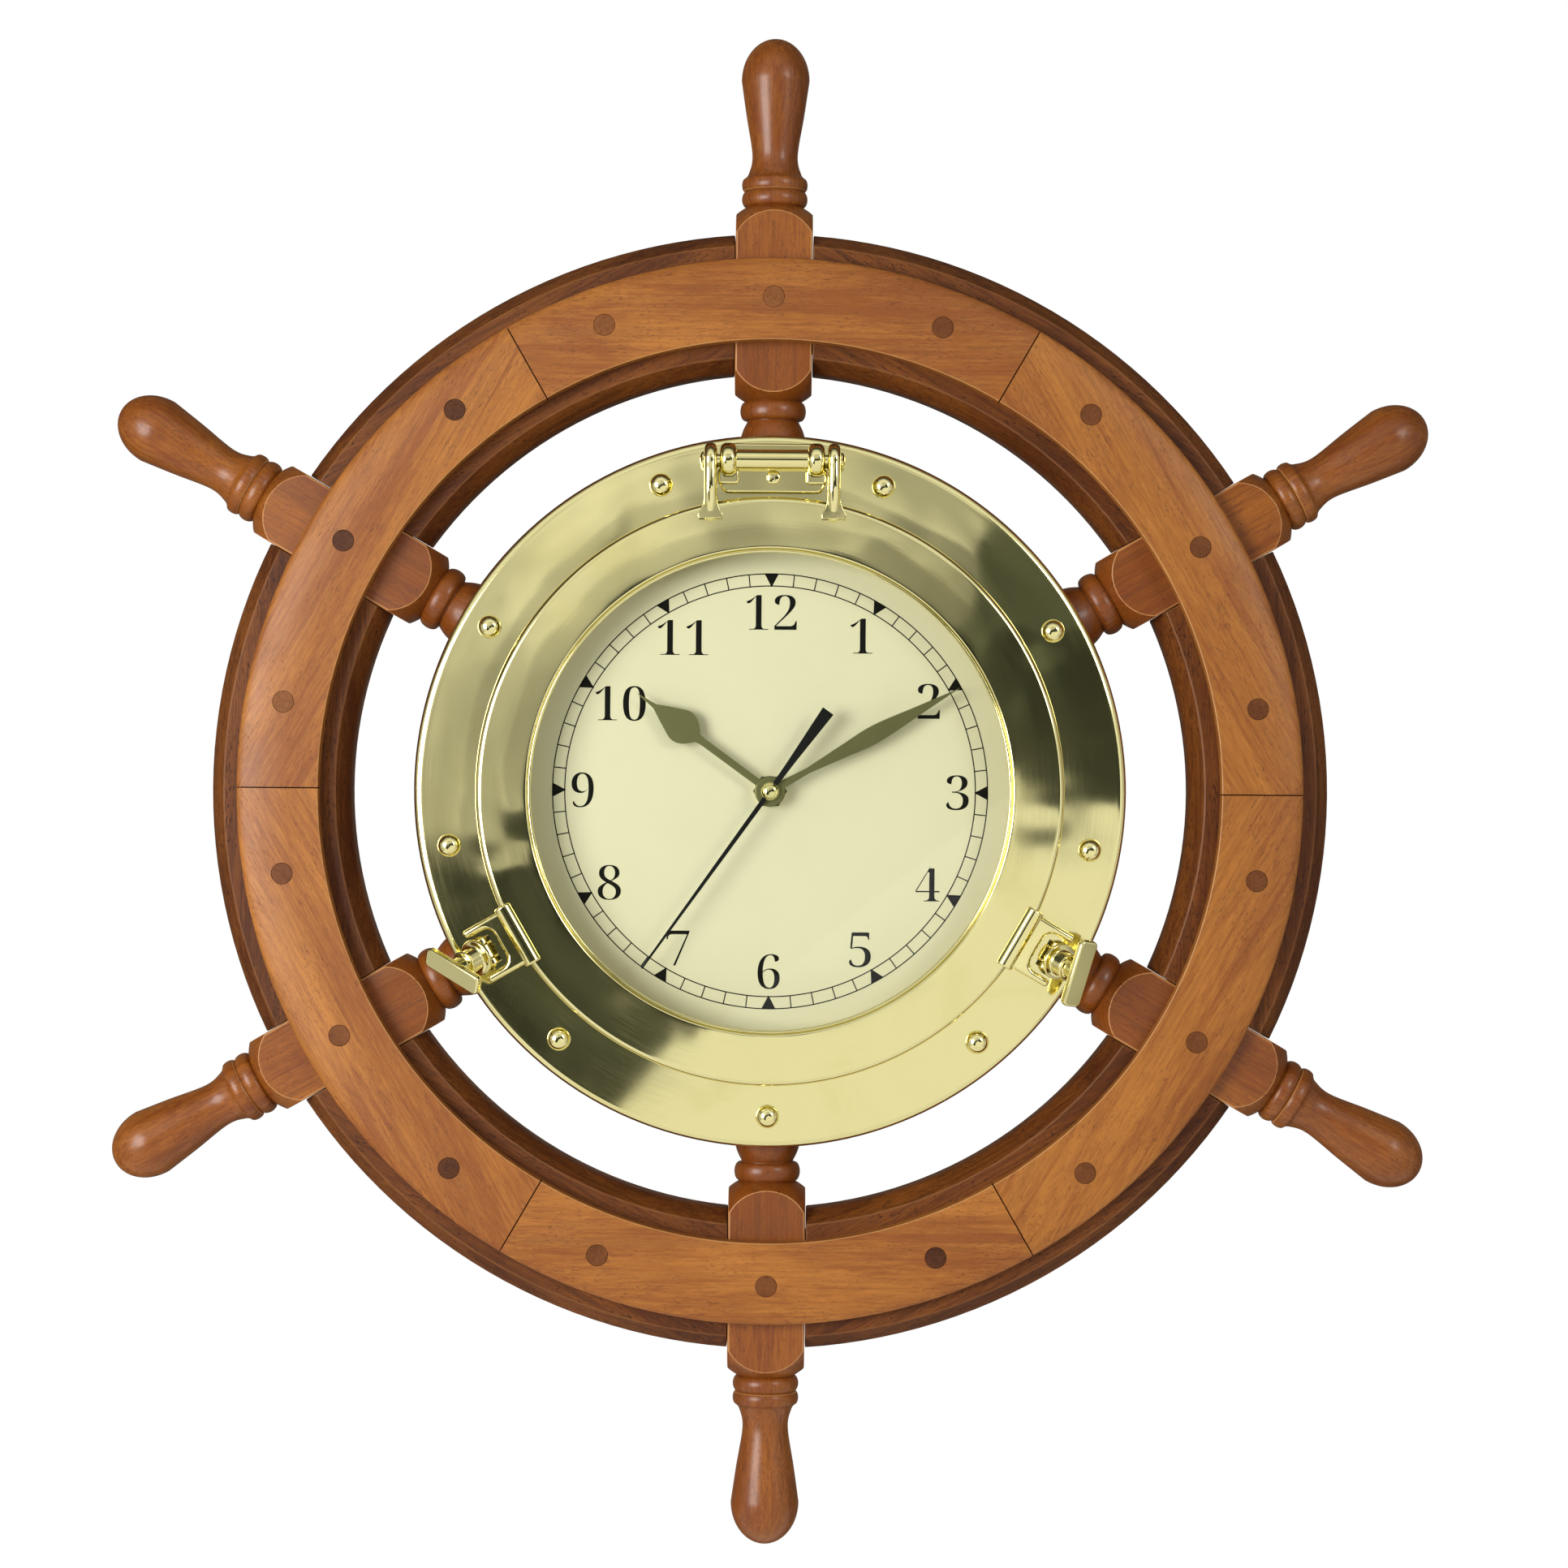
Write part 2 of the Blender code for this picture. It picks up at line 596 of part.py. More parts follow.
def build_wheel():
    """Spokes, felloes and the facings on both sides."""
    lathe_work = turned("spoke_turning", spoke_profile(), SPOKE_STEPS)
    length = spoke_profile()[0][1] + BLOCK_INNER
    bar = block("spoke_square_bar", (SPOKE_SIDE, SPOKE_SIDE, length), (0, 0, length / 2))
    spoke_mesh = finished_mesh(combine(lathe_work, bar, "INTERSECT"))
    spoke_mesh.shade_smooth()
    spoke_mesh.set_sharp_from_angle(angle=math.radians(40))

    round_front = oval_arc(
        (FACING_OUTER - FACING_ROUND_WIDTH, FACING_THICKNESS - FACING_ROUND_DROP),
        FACING_ROUND_WIDTH,
        FACING_ROUND_DROP,
        0,
        90,
        4,
    )
    facing = [(FACING_INNER, 0), (FACING_OUTER, 0)] + round_front + [(FACING_INNER, FACING_THICKNESS)]
    joint = math.degrees(GAP / 2 / FACING_INNER)
    facing_mesh = swept("facing", facing, 180 / SPOKE_COUNT - joint, SEGMENT_STEPS)
    facing_mesh.shade_smooth()
    facing_mesh.set_sharp_from_angle(angle=math.radians(30))

    half = SPOKE_SIDE / 2
    quarter = [(CORE_OUTER - MOULD_WIDTH, half)] + oval_arc(
        (CORE_OUTER - MOULD_WIDTH, half - QUIRK - MOULD_DROP), MOULD_WIDTH, MOULD_DROP, 90, 0, 2
    )
    outer = quarter + [(radius, -height) for radius, height in reversed(quarter)]
    inner = [(CORE_INNER + CORE_OUTER - radius, height) for radius, height in reversed(outer)]
    felloe_mesh = swept("felloe", outer + inner, 180 / SPOKE_COUNT, SEGMENT_STEPS)
    for side in (1, -1):
        spoke_way = math.radians(180 / SPOKE_COUNT) * side
        across = Vector((math.cos(spoke_way), -math.sin(spoke_way), 0)) * side
        trimmed(felloe_mesh, -across * (SPOKE_SIDE / 2 + GAP), across)
    felloe_mesh.shade_smooth()
    felloe_mesh.set_sharp_from_angle(angle=math.radians(30))

    for number in range(SPOKE_COUNT):
        angle = number * 360 / SPOKE_COUNT
        hour = (number * 12 // SPOKE_COUNT - 1) % 12 + 1
        between = number * 12 // SPOKE_COUNT + 6 // SPOKE_COUNT
        add(
            f"spoke_{hour}",
            spoke_mesh.copy(),
            SPOKE_WOOD,
            location=(0, 0, SPOKE_HEIGHT),
            rotation=(-math.pi / 2, 0, -math.radians(angle)),
        )
        add(
            f"felloe_{between}",
            felloe_mesh.copy(),
            FELLOE_WOOD,
            location=(0, 0, SPOKE_HEIGHT),
            rotation=clock_turn(angle + 180 / SPOKE_COUNT),
        )
        add(
            f"front_facing_{hour}",
            facing_mesh.copy(),
            BEECH,
            location=(0, 0, FACING_BACK),
            rotation=clock_turn(angle),
        )
        add(
            f"back_facing_{hour}",
            facing_mesh.copy(),
            BEECH,
            location=(0, 0, FACING_THICKNESS),
            rotation=(math.pi, 0, -math.radians(angle)),
        )


def build_hub():
    """Hub ring, back cover and hanger plate."""
    ledge = COVER_THICKNESS + GAP
    profile = [
        (HUB_FRONT_BORE, CORE_FRONT),
        (HUB_RADIUS, CORE_FRONT),
        (HUB_RADIUS, 0),
        (COVER_RADIUS + GAP, 0),
        (COVER_RADIUS + GAP, ledge),
        (HUB_BORE, ledge),
        (HUB_BORE, DIAL_LEDGE),
        (HUB_FRONT_BORE, DIAL_LEDGE),
    ]
    hub = turned("hub", profile, RING_STEPS, SPOKE_WOOD, ring=True)

    depth = TENON_LENGTH + GAP
    mortises = [
        Matrix.Rotation(-math.radians(number * 360 / SPOKE_COUNT), 4, "Z")
        @ Matrix.Translation((0, HUB_RADIUS, SPOKE_HEIGHT))
        @ Matrix.Rotation(math.pi / 2, 4, "X")
        for number in range(SPOKE_COUNT)
    ]
    combine(hub, rods("spoke_mortises", TENON_RADIUS + GAP, 2 * depth, mortises), "DIFFERENCE")
    pilots = [
        Matrix.Translation(on_face(SCREW_CIRCLE, angle, CORE_FRONT)) for angle in screw_angles()
    ]
    combine(
        hub,
        rods("screw_pilots", SCREW_SHANK_RADIUS + GAP, 2 * (SCREW_BITE + GAP), pilots, 8),
        "DIFFERENCE",
    )

    middle = (0, (COVER_RADIUS + HUB_RADIUS) / 2, 0)
    seat = rounded_rectangle(HANGER_WIDTH + 2 * GAP, HANGER_HEIGHT + 2 * GAP, 2 * MM)
    recess = HANGER_THICKNESS + GAP
    combine(
        hub,
        plate("hanger_seat", [seat], 2 * recess, -recess, location=middle),
        "DIFFERENCE",
    )
    entry = -KEYHOLE_RISE / 2
    head_room = 2 * (KEYHOLE_RADIUS + KEYHOLE_POCKET_MARGIN)
    pocket = rounded_rectangle(head_room, head_room + KEYHOLE_RISE, 2 * MM)
    depth = recess + KEYHOLE_POCKET_DEPTH
    combine(hub, plate("hanger_pocket", [pocket], 2 * depth, -depth, location=middle), "DIFFERENCE")

    turn_off = math.degrees(math.asin(KEYHOLE_SLOT / 2 / KEYHOLE_RADIUS))
    keyhole = arc((0, entry), KEYHOLE_RADIUS, 90 + turn_off, 450 - turn_off, 16)
    keyhole += arc((0, entry + KEYHOLE_RISE), KEYHOLE_SLOT / 2, 0, 180, 6)
    plate(
        "hanger_plate",
        [rounded_rectangle(HANGER_WIDTH, HANGER_HEIGHT, 2 * MM), keyhole],
        HANGER_THICKNESS,
        0,
        STEEL,
        location=middle,
    )
    turned(
        "back_cover",
        [(0, COVER_THICKNESS), (COVER_RADIUS, COVER_THICKNESS), (COVER_RADIUS, 0), (0, 0)],
        RING_STEPS,
        PLYWOOD,
    )


def screw_angles():
    """Returns the clock angles of the flange's screws, which straddle the hinge at 12."""
    return [(number + 0.5) * 360 / SCREW_COUNT for number in range(SCREW_COUNT)]


def build_flange():
    """Flange with its collar, the swing bolts' ears and its screws."""
    roll = oval_arc(
        (FLANGE_RADIUS - FLANGE_ROLL, FLANGE_BACK + 0.6 * MM),
        FLANGE_ROLL,
        FLANGE_THICKNESS - 0.6 * MM,
        90,
        0,
        3,
    )
    profile = (
        [(FLANGE_BORE, FLANGE_FRONT)]
        + roll
        + [
            (FLANGE_RADIUS - 0.6 * MM, FLANGE_BACK),
            (DIAL_RADIUS, FLANGE_BACK),
            (DIAL_RADIUS, DIAL_FRONT + GAP),
            (FLANGE_BORE, DIAL_FRONT + GAP),
        ]
    )
    flange = turned("port_flange", profile, RING_STEPS, BRASS, ring=True)

    foot = -DOG_PIVOT_HEIGHT - FLANGE_THICKNESS / 2
    inside = DOG_EYE_WIDTH / 2 + GAP
    for side, angle in DOG_ANGLES.items():
        place = {"location": on_face(DOG_RADIUS, angle, DOG_HEIGHT), "rotation": clock_turn(angle)}
        for ear, start in (("inner", inside), ("outer", -inside - EAR_WIDTH)):
            outline = arch(DOG_EYE_RADIUS, foot, 6)
            helper = plate(f"{side}_{ear}_ear", [outline], EAR_WIDTH, start, matrix=ON_EDGE, **place)
            combine(flange, helper, "UNION")
        bore = rods(
            f"{side}_ear_bore",
            DOG_PIN_RADIUS + GAP,
            4 * inside + 4 * EAR_WIDTH,
            [Matrix.Rotation(math.pi / 2, 4, "Y")],
            12,
            **place,
        )
        combine(flange, bore, "DIFFERENCE")

    holes = [Matrix.Translation(on_face(SCREW_CIRCLE, angle, FLANGE_BACK)) for angle in screw_angles()]
    clearance = rods("flange_screw_holes", SCREW_SHANK_RADIUS + GAP, 4 * FLANGE_THICKNESS, holes, 8)
    combine(flange, clearance, "DIFFERENCE")

    seat = FLANGE_FRONT + GAP
    dome = arc_through(
        (0, seat + SCREW_HEAD_HEIGHT),
        (0.72 * SCREW_HEAD_RADIUS, seat + 0.64 * SCREW_HEAD_HEIGHT),
        (SCREW_HEAD_RADIUS, seat + 0.1 * SCREW_HEAD_HEIGHT),
        3,
    )
    tip = CORE_FRONT - SCREW_BITE
    screw = dome + [
        (SCREW_HEAD_RADIUS, seat),
        (SCREW_SHANK_RADIUS, seat),
        (SCREW_SHANK_RADIUS, tip),
        (0, tip),
    ]
    for number, angle in enumerate(screw_angles(), start=1):
        turned(f"flange_screw_{number}", screw, 10, BRASS, location=on_face(SCREW_CIRCLE, angle))


def build_port():
    """Hinged port ring with its arms and forks, glass, retaining ring, hinge bracket and hinge pin."""
    hinge_place = (0, HINGE_RADIUS, HINGE_HEIGHT)
    axis = empty("port_hinge_axis", hinge_place)
    centre = tuple(-value for value in hinge_place)
    face_fall = 0.8 * MM
    roll = oval_arc(
        (BEZEL_RADIUS - BEZEL_ROLL, BEZEL_FRONT - BEZEL_ROLL), BEZEL_ROLL, BEZEL_ROLL, 90, 0, 2
    )
    profile = (
        [
            (OPENING_RADIUS, LIP_FRONT - 0.6 * MM),
            (OPENING_RADIUS + 1.0 * MM, LIP_FRONT),
            (OPENING_RADIUS + 3.0 * MM, LIP_FRONT + 0.4 * MM),
            (BEZEL_RADIUS - 2.4 * BEZEL_ROLL, BEZEL_FRONT - face_fall),
        ]
        + roll
        + [
            (BEZEL_RADIUS, BEZEL_BACK),
            (REBATE_RADIUS, BEZEL_BACK),
            (REBATE_RADIUS, LIP_BACK),
            (OPENING_RADIUS, LIP_BACK),
        ]
    )
    bezel = turned("port_bezel", profile, RING_STEPS, BRASS, ring=True, parent=axis, location=centre)

    arm_start = BARREL_LENGTH / 2 + KNUCKLE_WIDTH + ARM_SIDE_GAP
    # The foot follows the port ring's edge where the arm crosses it.
    edge = math.sqrt(BEZEL_RADIUS**2 - (arm_start + ARM_WIDTH) ** 2) - HINGE_RADIUS
    face = BEZEL_FRONT - HINGE_HEIGHT
    arm = arc((0, 0), EYE_RADIUS, -80, 115, 7) + [
        (edge, face + 2.4 * MM),
        (edge - ARM_FOOT + 2.6 * MM, face + 1.0 * MM),
        (edge - ARM_FOOT, face - 1.6 * MM),
        (edge - ARM_FOOT + 1.2 * MM, face - BEZEL_THICKNESS / 2),
        (edge + 2.0 * MM, face - BEZEL_THICKNESS + 1.2 * MM),
    ]
    for side, start in (("right", arm_start), ("left", -arm_start - ARM_WIDTH)):
        helper = plate(f"{side}_arm", [arm], ARM_WIDTH, start, matrix=ON_EDGE, parent=axis)
        combine(bezel, helper, "UNION")

    half = FORK_WIDTH / 2
    root = BEZEL_RADIUS - 4.0 * MM
    tip = BEZEL_RADIUS + FORK_REACH
    notch = BEZEL_RADIUS + FORK_ROOT
    slot = half - FORK_PRONG
    corner = FORK_NOTCH_CORNER
    fork = (
        [(-half, root), (half, root), (half, tip), (slot, tip)]
        + arc((slot - corner, notch + corner), corner, 0, -90, 4)
        + arc((-slot + corner, notch + corner), corner, -90, -180, 4)
        + [(-slot, tip), (-half, tip)]
    )
    moulding = (
        [(root, BEZEL_FRONT - FORK_THICKNESS), (notch, BEZEL_FRONT - FORK_THICKNESS)]
        + oval_arc((BEZEL_RADIUS, BEZEL_FRONT - 1.0 * MM), FORK_ROOT, 2.0 * MM, 0, 90, 4)
        + [(BEZEL_RADIUS - 1.0 * MM, BEZEL_FRONT + 0.6 * MM), (root, BEZEL_FRONT - 1.0 * MM)]
    )
    for side, angle in DOG_ANGLES.items():
        place = {"parent": axis, "location": centre, "rotation": clock_turn(angle)}
        prongs = plate(f"{side}_fork", [fork], FORK_THICKNESS, BEZEL_FRONT - FORK_THICKNESS, **place)
        combine(bezel, prongs, "UNION")
        fork_root = plate(f"{side}_fork_root", [moulding], FORK_WIDTH, -half, matrix=ON_EDGE, **place)
        combine(bezel, fork_root, "UNION")
    across = Matrix.Rotation(math.pi / 2, 4, "Y")
    reach = arm_start + ARM_WIDTH
    arm_bore = rods("arm_bore", HINGE_PIN_RADIUS + GAP, 3 * reach, [across], 16, parent=axis)
    combine(bezel, arm_bore, "DIFFERENCE")

    turned(
        "port_glass",
        [
            (0, GLASS_BACK + GLASS_THICKNESS),
            (GLASS_RADIUS, GLASS_BACK + GLASS_THICKNESS),
            (GLASS_RADIUS, GLASS_BACK),
            (0, GLASS_BACK),
        ],
        RING_STEPS,
        GLASS,
        parent=axis,
        location=centre,
    )
    turned(
        "glass_ring",
        [
            (GLASS_RADIUS - RETAINER_WIDTH, BEZEL_BACK + RETAINER_THICKNESS),
            (GLASS_RADIUS, BEZEL_BACK + RETAINER_THICKNESS),
            (GLASS_RADIUS, BEZEL_BACK),
            (GLASS_RADIUS - RETAINER_WIDTH, BEZEL_BACK),
        ],
        RING_STEPS,
        BRASS,
        ring=True,
        parent=axis,
        location=centre,
    )

    base = FLANGE_FRONT + GAP
    width = BARREL_LENGTH + 2 * KNUCKLE_WIDTH
    low = BEZEL_RADIUS + 1.6 * MM
    high = HINGE_RADIUS + BRACKET_TAIL
    sheet = rounded_rectangle(width, high - low, BRACKET_CORNER, 3, (0, (low + high) / 2))
    bracket = plate("hinge_bracket", [sheet], BRACKET_THICKNESS, base, BRASS)
    pin_place = {"location": hinge_place}
    upright = arch(EYE_RADIUS, base + BRACKET_THICKNESS / 2 - HINGE_HEIGHT, 8)
    for side, start in (("right", BARREL_LENGTH / 2), ("left", -width / 2)):
        helper = plate(f"{side}_knuckle", [upright], KNUCKLE_WIDTH, start, matrix=ON_EDGE, **pin_place)
        combine(bracket, helper, "UNION")
    barrel = rods("hinge_barrel", BARREL_RADIUS, BARREL_LENGTH + KNUCKLE_WIDTH, [across], 16, **pin_place)
    combine(bracket, barrel, "UNION")
    bore = rods("bracket_bore", HINGE_PIN_RADIUS + GAP, 2 * width, [across], 16, **pin_place)
    combine(bracket, bore, "DIFFERENCE")

    end = reach + GAP
    head = end + HINGE_PIN_HEAD
    pin = [
        (0, head),
        (0.6 * HINGE_PIN_HEAD_RADIUS, head),
        (HINGE_PIN_HEAD_RADIUS, end + 0.4 * HINGE_PIN_HEAD),
        (HINGE_PIN_HEAD_RADIUS, end),
        (HINGE_PIN_RADIUS, end),
    ]
    pin += [(radius, -height) for radius, height in reversed(pin)]
    turned("hinge_pin", pin, 14, BRASS, location=hinge_place, rotation=(0, math.pi / 2, 0))


def build_swing_bolts():
    """For each side: pivot pin, swing bolt and its bar-handled nut, leaning out of the fork."""
    across = Matrix.Rotation(math.pi / 2, 4, "Y")
    pin_length = DOG_EYE_WIDTH + 2 * GAP + 2 * EAR_WIDTH
    top = NUT_START + NUT_LENGTH
    bore = BOLT_RADIUS + GAP
    bore_end = BOLT_LENGTH + GAP
    collar = NUT_START + 0.58 * NUT_LENGTH
    nut_profile = [
        (0, top + BAR_THICKNESS / 2),
        (0.84 * NUT_BOSS_RADIUS, top + BAR_THICKNESS / 2),
        (0.84 * NUT_BOSS_RADIUS, collar + 1.6 * MM),
        (NUT_COLLAR_RADIUS, collar + 1.1 * MM),
        (NUT_COLLAR_RADIUS, collar),
        (NUT_BOSS_RADIUS, collar - 0.5 * MM),
        (NUT_BOSS_RADIUS, NUT_START + NUT_FLANGE_THICKNESS),
        (NUT_FLANGE_RADIUS, NUT_START + 0.6 * NUT_FLANGE_THICKNESS),
        (NUT_FLANGE_RADIUS, NUT_START),
        (bore, NUT_START),
        (bore, bore_end),
        (0, bore_end),
    ]
    for side, angle in DOG_ANGLES.items():
        pivot = empty(f"{side}_pivot_axis", on_face(DOG_RADIUS, angle, DOG_HEIGHT), clock_turn(angle))
        lean = empty(f"{side}_bolt_axis", (0, 0, 0), (-math.radians(DOG_LEAN[side]), 0, 0), pivot)
        rods(f"{side}_pivot_pin", DOG_PIN_RADIUS, pin_length, [across], 12, BRASS, parent=pivot)

        bolt = turned(
            f"{side}_swing_bolt",
            [(0, BOLT_LENGTH), (BOLT_RADIUS, BOLT_LENGTH), (BOLT_RADIUS, 0), (0, 0)],
            16,
            BRASS,
            parent=lean,
        )
        eye = rods(f"{side}_bolt_eye", DOG_EYE_RADIUS, DOG_EYE_WIDTH, [across], 16, parent=lean)
        combine(bolt, eye, "UNION")
        hole = rods(f"{side}_eye_hole", DOG_PIN_RADIUS + GAP, 2 * DOG_EYE_WIDTH, [across], 12, parent=lean)
        combine(bolt, hole, "DIFFERENCE")

        turn = (0, 0, math.radians(DOG_BAR_TURN[side]))
        nut = turned(f"{side}_thumb_nut", nut_profile, 12, BRASS, parent=lean, rotation=turn)
        grip = rounded_rectangle(BAR_LENGTH, BAR_WIDTH, BAR_CORNER, 2)
        bar = plate(f"{side}_bar", [grip], BAR_THICKNESS, top, parent=lean, rotation=turn)
        combine(nut, bar, "UNION")


def gear(teeth, module, first_tooth, slack=0.16):
    """Returns a spur gear's outline with involute flanks and a tooth centred on first_tooth degrees."""
    pitch = teeth * module / 2
    pressure = math.radians(20)
    base = pitch * math.cos(pressure)
    root = pitch - 1.25 * module
    tip = pitch + 0.8 * module
    half_pitch = math.pi / (2 * teeth) - slack * module / (2 * pitch)
    flank = []
    for radius in (root, tip):
        slope = math.acos(min(1.0, base / radius))
        unwound = math.tan(slope) - slope
        flank.append((radius, half_pitch + math.tan(pressure) - pressure - unwound))
    outline = []
    for tooth in range(teeth):
        middle = math.radians(first_tooth) + tooth * 2 * math.pi / teeth
        sides = [(radius, middle - half) for radius, half in flank]
        sides += [(radius, middle + half) for radius, half in reversed(flank)]
        outline += [(radius * math.cos(angle), radius * math.sin(angle)) for radius, angle in sides]
    return outline


def build_movement():
    """Dial, movement case with its cover, battery, fixing nut and the motion work."""
    minute_module = 2 * CENTRE_DISTANCE / (CANNON_TEETH + MINUTE_WHEEL_TEETH)
    hour_module = 2 * CENTRE_DISTANCE / (MINUTE_PINION_TEETH + HOUR_WHEEL_TEETH)
    stud_place = (0, CENTRE_DISTANCE, 0)
    pinion_thickness = GEAR_THICKNESS + 2 * GEAR_OVERLAP

    turned(
        "dial",
        [
            (BUSH_RADIUS + GAP, DIAL_FRONT),
            (DIAL_RADIUS, DIAL_FRONT),
            (DIAL_RADIUS, DIAL_BACK),
            (BUSH_RADIUS + GAP, DIAL_BACK),
        ],
        RING_STEPS,
        DIAL_PAPER,
        ring=True,
    )

    shell = rounded_rectangle(CASE_SIDE, CASE_SIDE, CASE_CORNER)
    case = plate("movement_case", [shell], CASE_DEPTH, CASE_BACK, BLACK_PLASTIC)
    inside = CASE_SIDE - 2 * CASE_WALL
    hollow = rounded_rectangle(inside, inside, CASE_CORNER - CASE_WALL)
    combine(
        case,
        plate("case_hollow", [hollow], CASE_DEPTH, CASE_INSIDE - CASE_DEPTH),
        "DIFFERENCE",
    )
    bush_start = CASE_INSIDE + CASE_WALL / 2
    bush_height = BUSH_TOP - bush_start
    bush_middle = Matrix.Translation((0, 0, bush_start + bush_height / 2))
    combine(case, rods("case_bush", BUSH_RADIUS, bush_height, [bush_middle]), "UNION")
    combine(case, rods("bush_bore", BUSH_BORE, 3 * bush_height, [bush_middle]), "DIFFERENCE")
    stud_end = MINUTE_GEAR_BACK - GAP
    stud_height = CASE_INSIDE + CASE_WALL / 2 - stud_end
    stud_middle = Matrix.Translation((0, CENTRE_DISTANCE, stud_end + stud_height / 2))
    combine(case, rods("case_stud", STUD_RADIUS, stud_height, [stud_middle], 12), "UNION")

    wheel_tooth = 270 + 180 / MINUTE_WHEEL_TEETH
    knob_direction = wheel_tooth + KNOB_TEETH_ROUND * 360 / MINUTE_WHEEL_TEETH
    knob_way = math.radians(knob_direction)
    knob_place = (
        CENTRE_DISTANCE * math.cos(knob_way),
        CENTRE_DISTANCE + CENTRE_DISTANCE * math.sin(knob_way),
        0,
    )
    battery_low = -CASE_SIDE / 2 + CASE_WALL + 2 * GAP
    battery_middle = battery_low + BATTERY_RADIUS
    window = rounded_rectangle(
        BATTERY_LENGTH - 4 * MM, 2 * BATTERY_RADIUS - 3 * MM, 1.5 * MM, 2, (0, battery_middle)
    )
    plate(
        "movement_cover",
        [shell, window, circle(knob_place, KNOB_SHAFT_RADIUS + GAP, 12)],
        CASE_COVER_THICKNESS,
        CASE_COVER_BACK,
        BLACK_PLASTIC,
    )
    lying = Matrix.Rotation(math.pi / 2, 4, "Y")
    rods(
        "battery",
        BATTERY_RADIUS,
        BATTERY_LENGTH,
        [lying],
        SMALL_STEPS,
        CELL,
        location=(0, battery_middle, CASE_INSIDE - GAP - BATTERY_RADIUS),
    )
    plate(
        "fixing_nut",
        [circle((0, 0), FIXING_NUT_RADIUS, 6), circle((0, 0), BUSH_RADIUS + GAP, SMALL_STEPS)],
        FIXING_NUT_THICKNESS,
        DIAL_FRONT + GAP,
        BRASS,
    )

    plate_hour = HOUR_HAND_BACK + HAND_THICKNESS + GAP
    hour_wheel = turned(
        "hour_wheel",
        [
            (PIPE_BORE, plate_hour),
            (PIPE_RADIUS, plate_hour),
            (PIPE_RADIUS, HOUR_GEAR_BACK),
            (PIPE_BORE, HOUR_GEAR_BACK),
        ],
        16,
        WHITE_PLASTIC,
        ring=True,
    )
    ring_hole = circle((0, 0), (PIPE_RADIUS + PIPE_BORE) / 2, 16)
    hour_teeth = plate(
        "hour_teeth", [gear(HOUR_WHEEL_TEETH, hour_module, 90), ring_hole], GEAR_THICKNESS, HOUR_GEAR_BACK
    )
    combine(hour_wheel, hour_teeth, "UNION")

    plate_minute = MINUTE_HAND_BACK + HAND_THICKNESS + GAP
    arbor_end = MINUTE_GEAR_BACK - 3 * MM
    minute_arbor = turned(
        "minute_arbor",
        [
            (ARBOR_BORE, plate_minute),
            (ARBOR_RADIUS, plate_minute),
            (ARBOR_RADIUS, arbor_end),
            (ARBOR_BORE, arbor_end),
        ],
        14,
        STEEL,
        ring=True,
    )
    arbor_hole = circle((0, 0), (ARBOR_RADIUS + ARBOR_BORE) / 2, 14)
    cannon = plate(
        "cannon_teeth",
        [gear(CANNON_TEETH, minute_module, 90), arbor_hole],
        pinion_thickness,
        MINUTE_GEAR_BACK - GEAR_OVERLAP,
    )
    combine(minute_arbor, cannon, "UNION")

    stud_hole = circle((0, 0), STUD_RADIUS + GAP, 12)
    minute_wheel = plate(
        "minute_wheel",
        [gear(MINUTE_WHEEL_TEETH, minute_module, wheel_tooth), stud_hole],
        GEAR_THICKNESS,
        MINUTE_GEAR_BACK,
        WHITE_PLASTIC,
        location=stud_place,
    )
    pinion_base = MINUTE_GEAR_BACK + GEAR_THICKNESS / 2
    pinion = plate(
        "minute_pinion",
        [gear(MINUTE_PINION_TEETH, hour_module, 270 + 180 / MINUTE_PINION_TEETH), stud_hole],
        HOUR_GEAR_BACK + GEAR_THICKNESS + GEAR_OVERLAP - pinion_base,
        pinion_base,
        location=stud_place,
    )
    combine(minute_wheel, pinion, "UNION")

    knob_top = CASE_COVER_BACK - GAP
    shaft_top = MINUTE_GEAR_BACK + GEAR_THICKNESS
    knob = turned(
        "setting_knob",
        [
            (0, shaft_top),
            (KNOB_SHAFT_RADIUS, shaft_top),
            (KNOB_SHAFT_RADIUS, knob_top),
            (KNOB_RADIUS, knob_top),
            (KNOB_RADIUS, knob_top - KNOB_HEIGHT),
            (0, knob_top - KNOB_HEIGHT),
        ],
        16,
        BLACK_PLASTIC,
        location=knob_place,
    )
    gap_way = knob_direction + 180 + 180 / CANNON_TEETH
    knob_teeth = plate(
        "knob_teeth",
        [gear(CANNON_TEETH, minute_module, gap_way), circle((0, 0), KNOB_SHAFT_RADIUS / 2, 12)],
        pinion_thickness,
        MINUTE_GEAR_BACK - GEAR_OVERLAP,
        location=knob_place,
    )
    combine(knob, knob_teeth, "UNION")


def mirrored(side):
    """Returns a hand's outline from the points of one side, which run outwards."""
    return side + [(-x, y) for x, y in reversed(side) if x > 0]


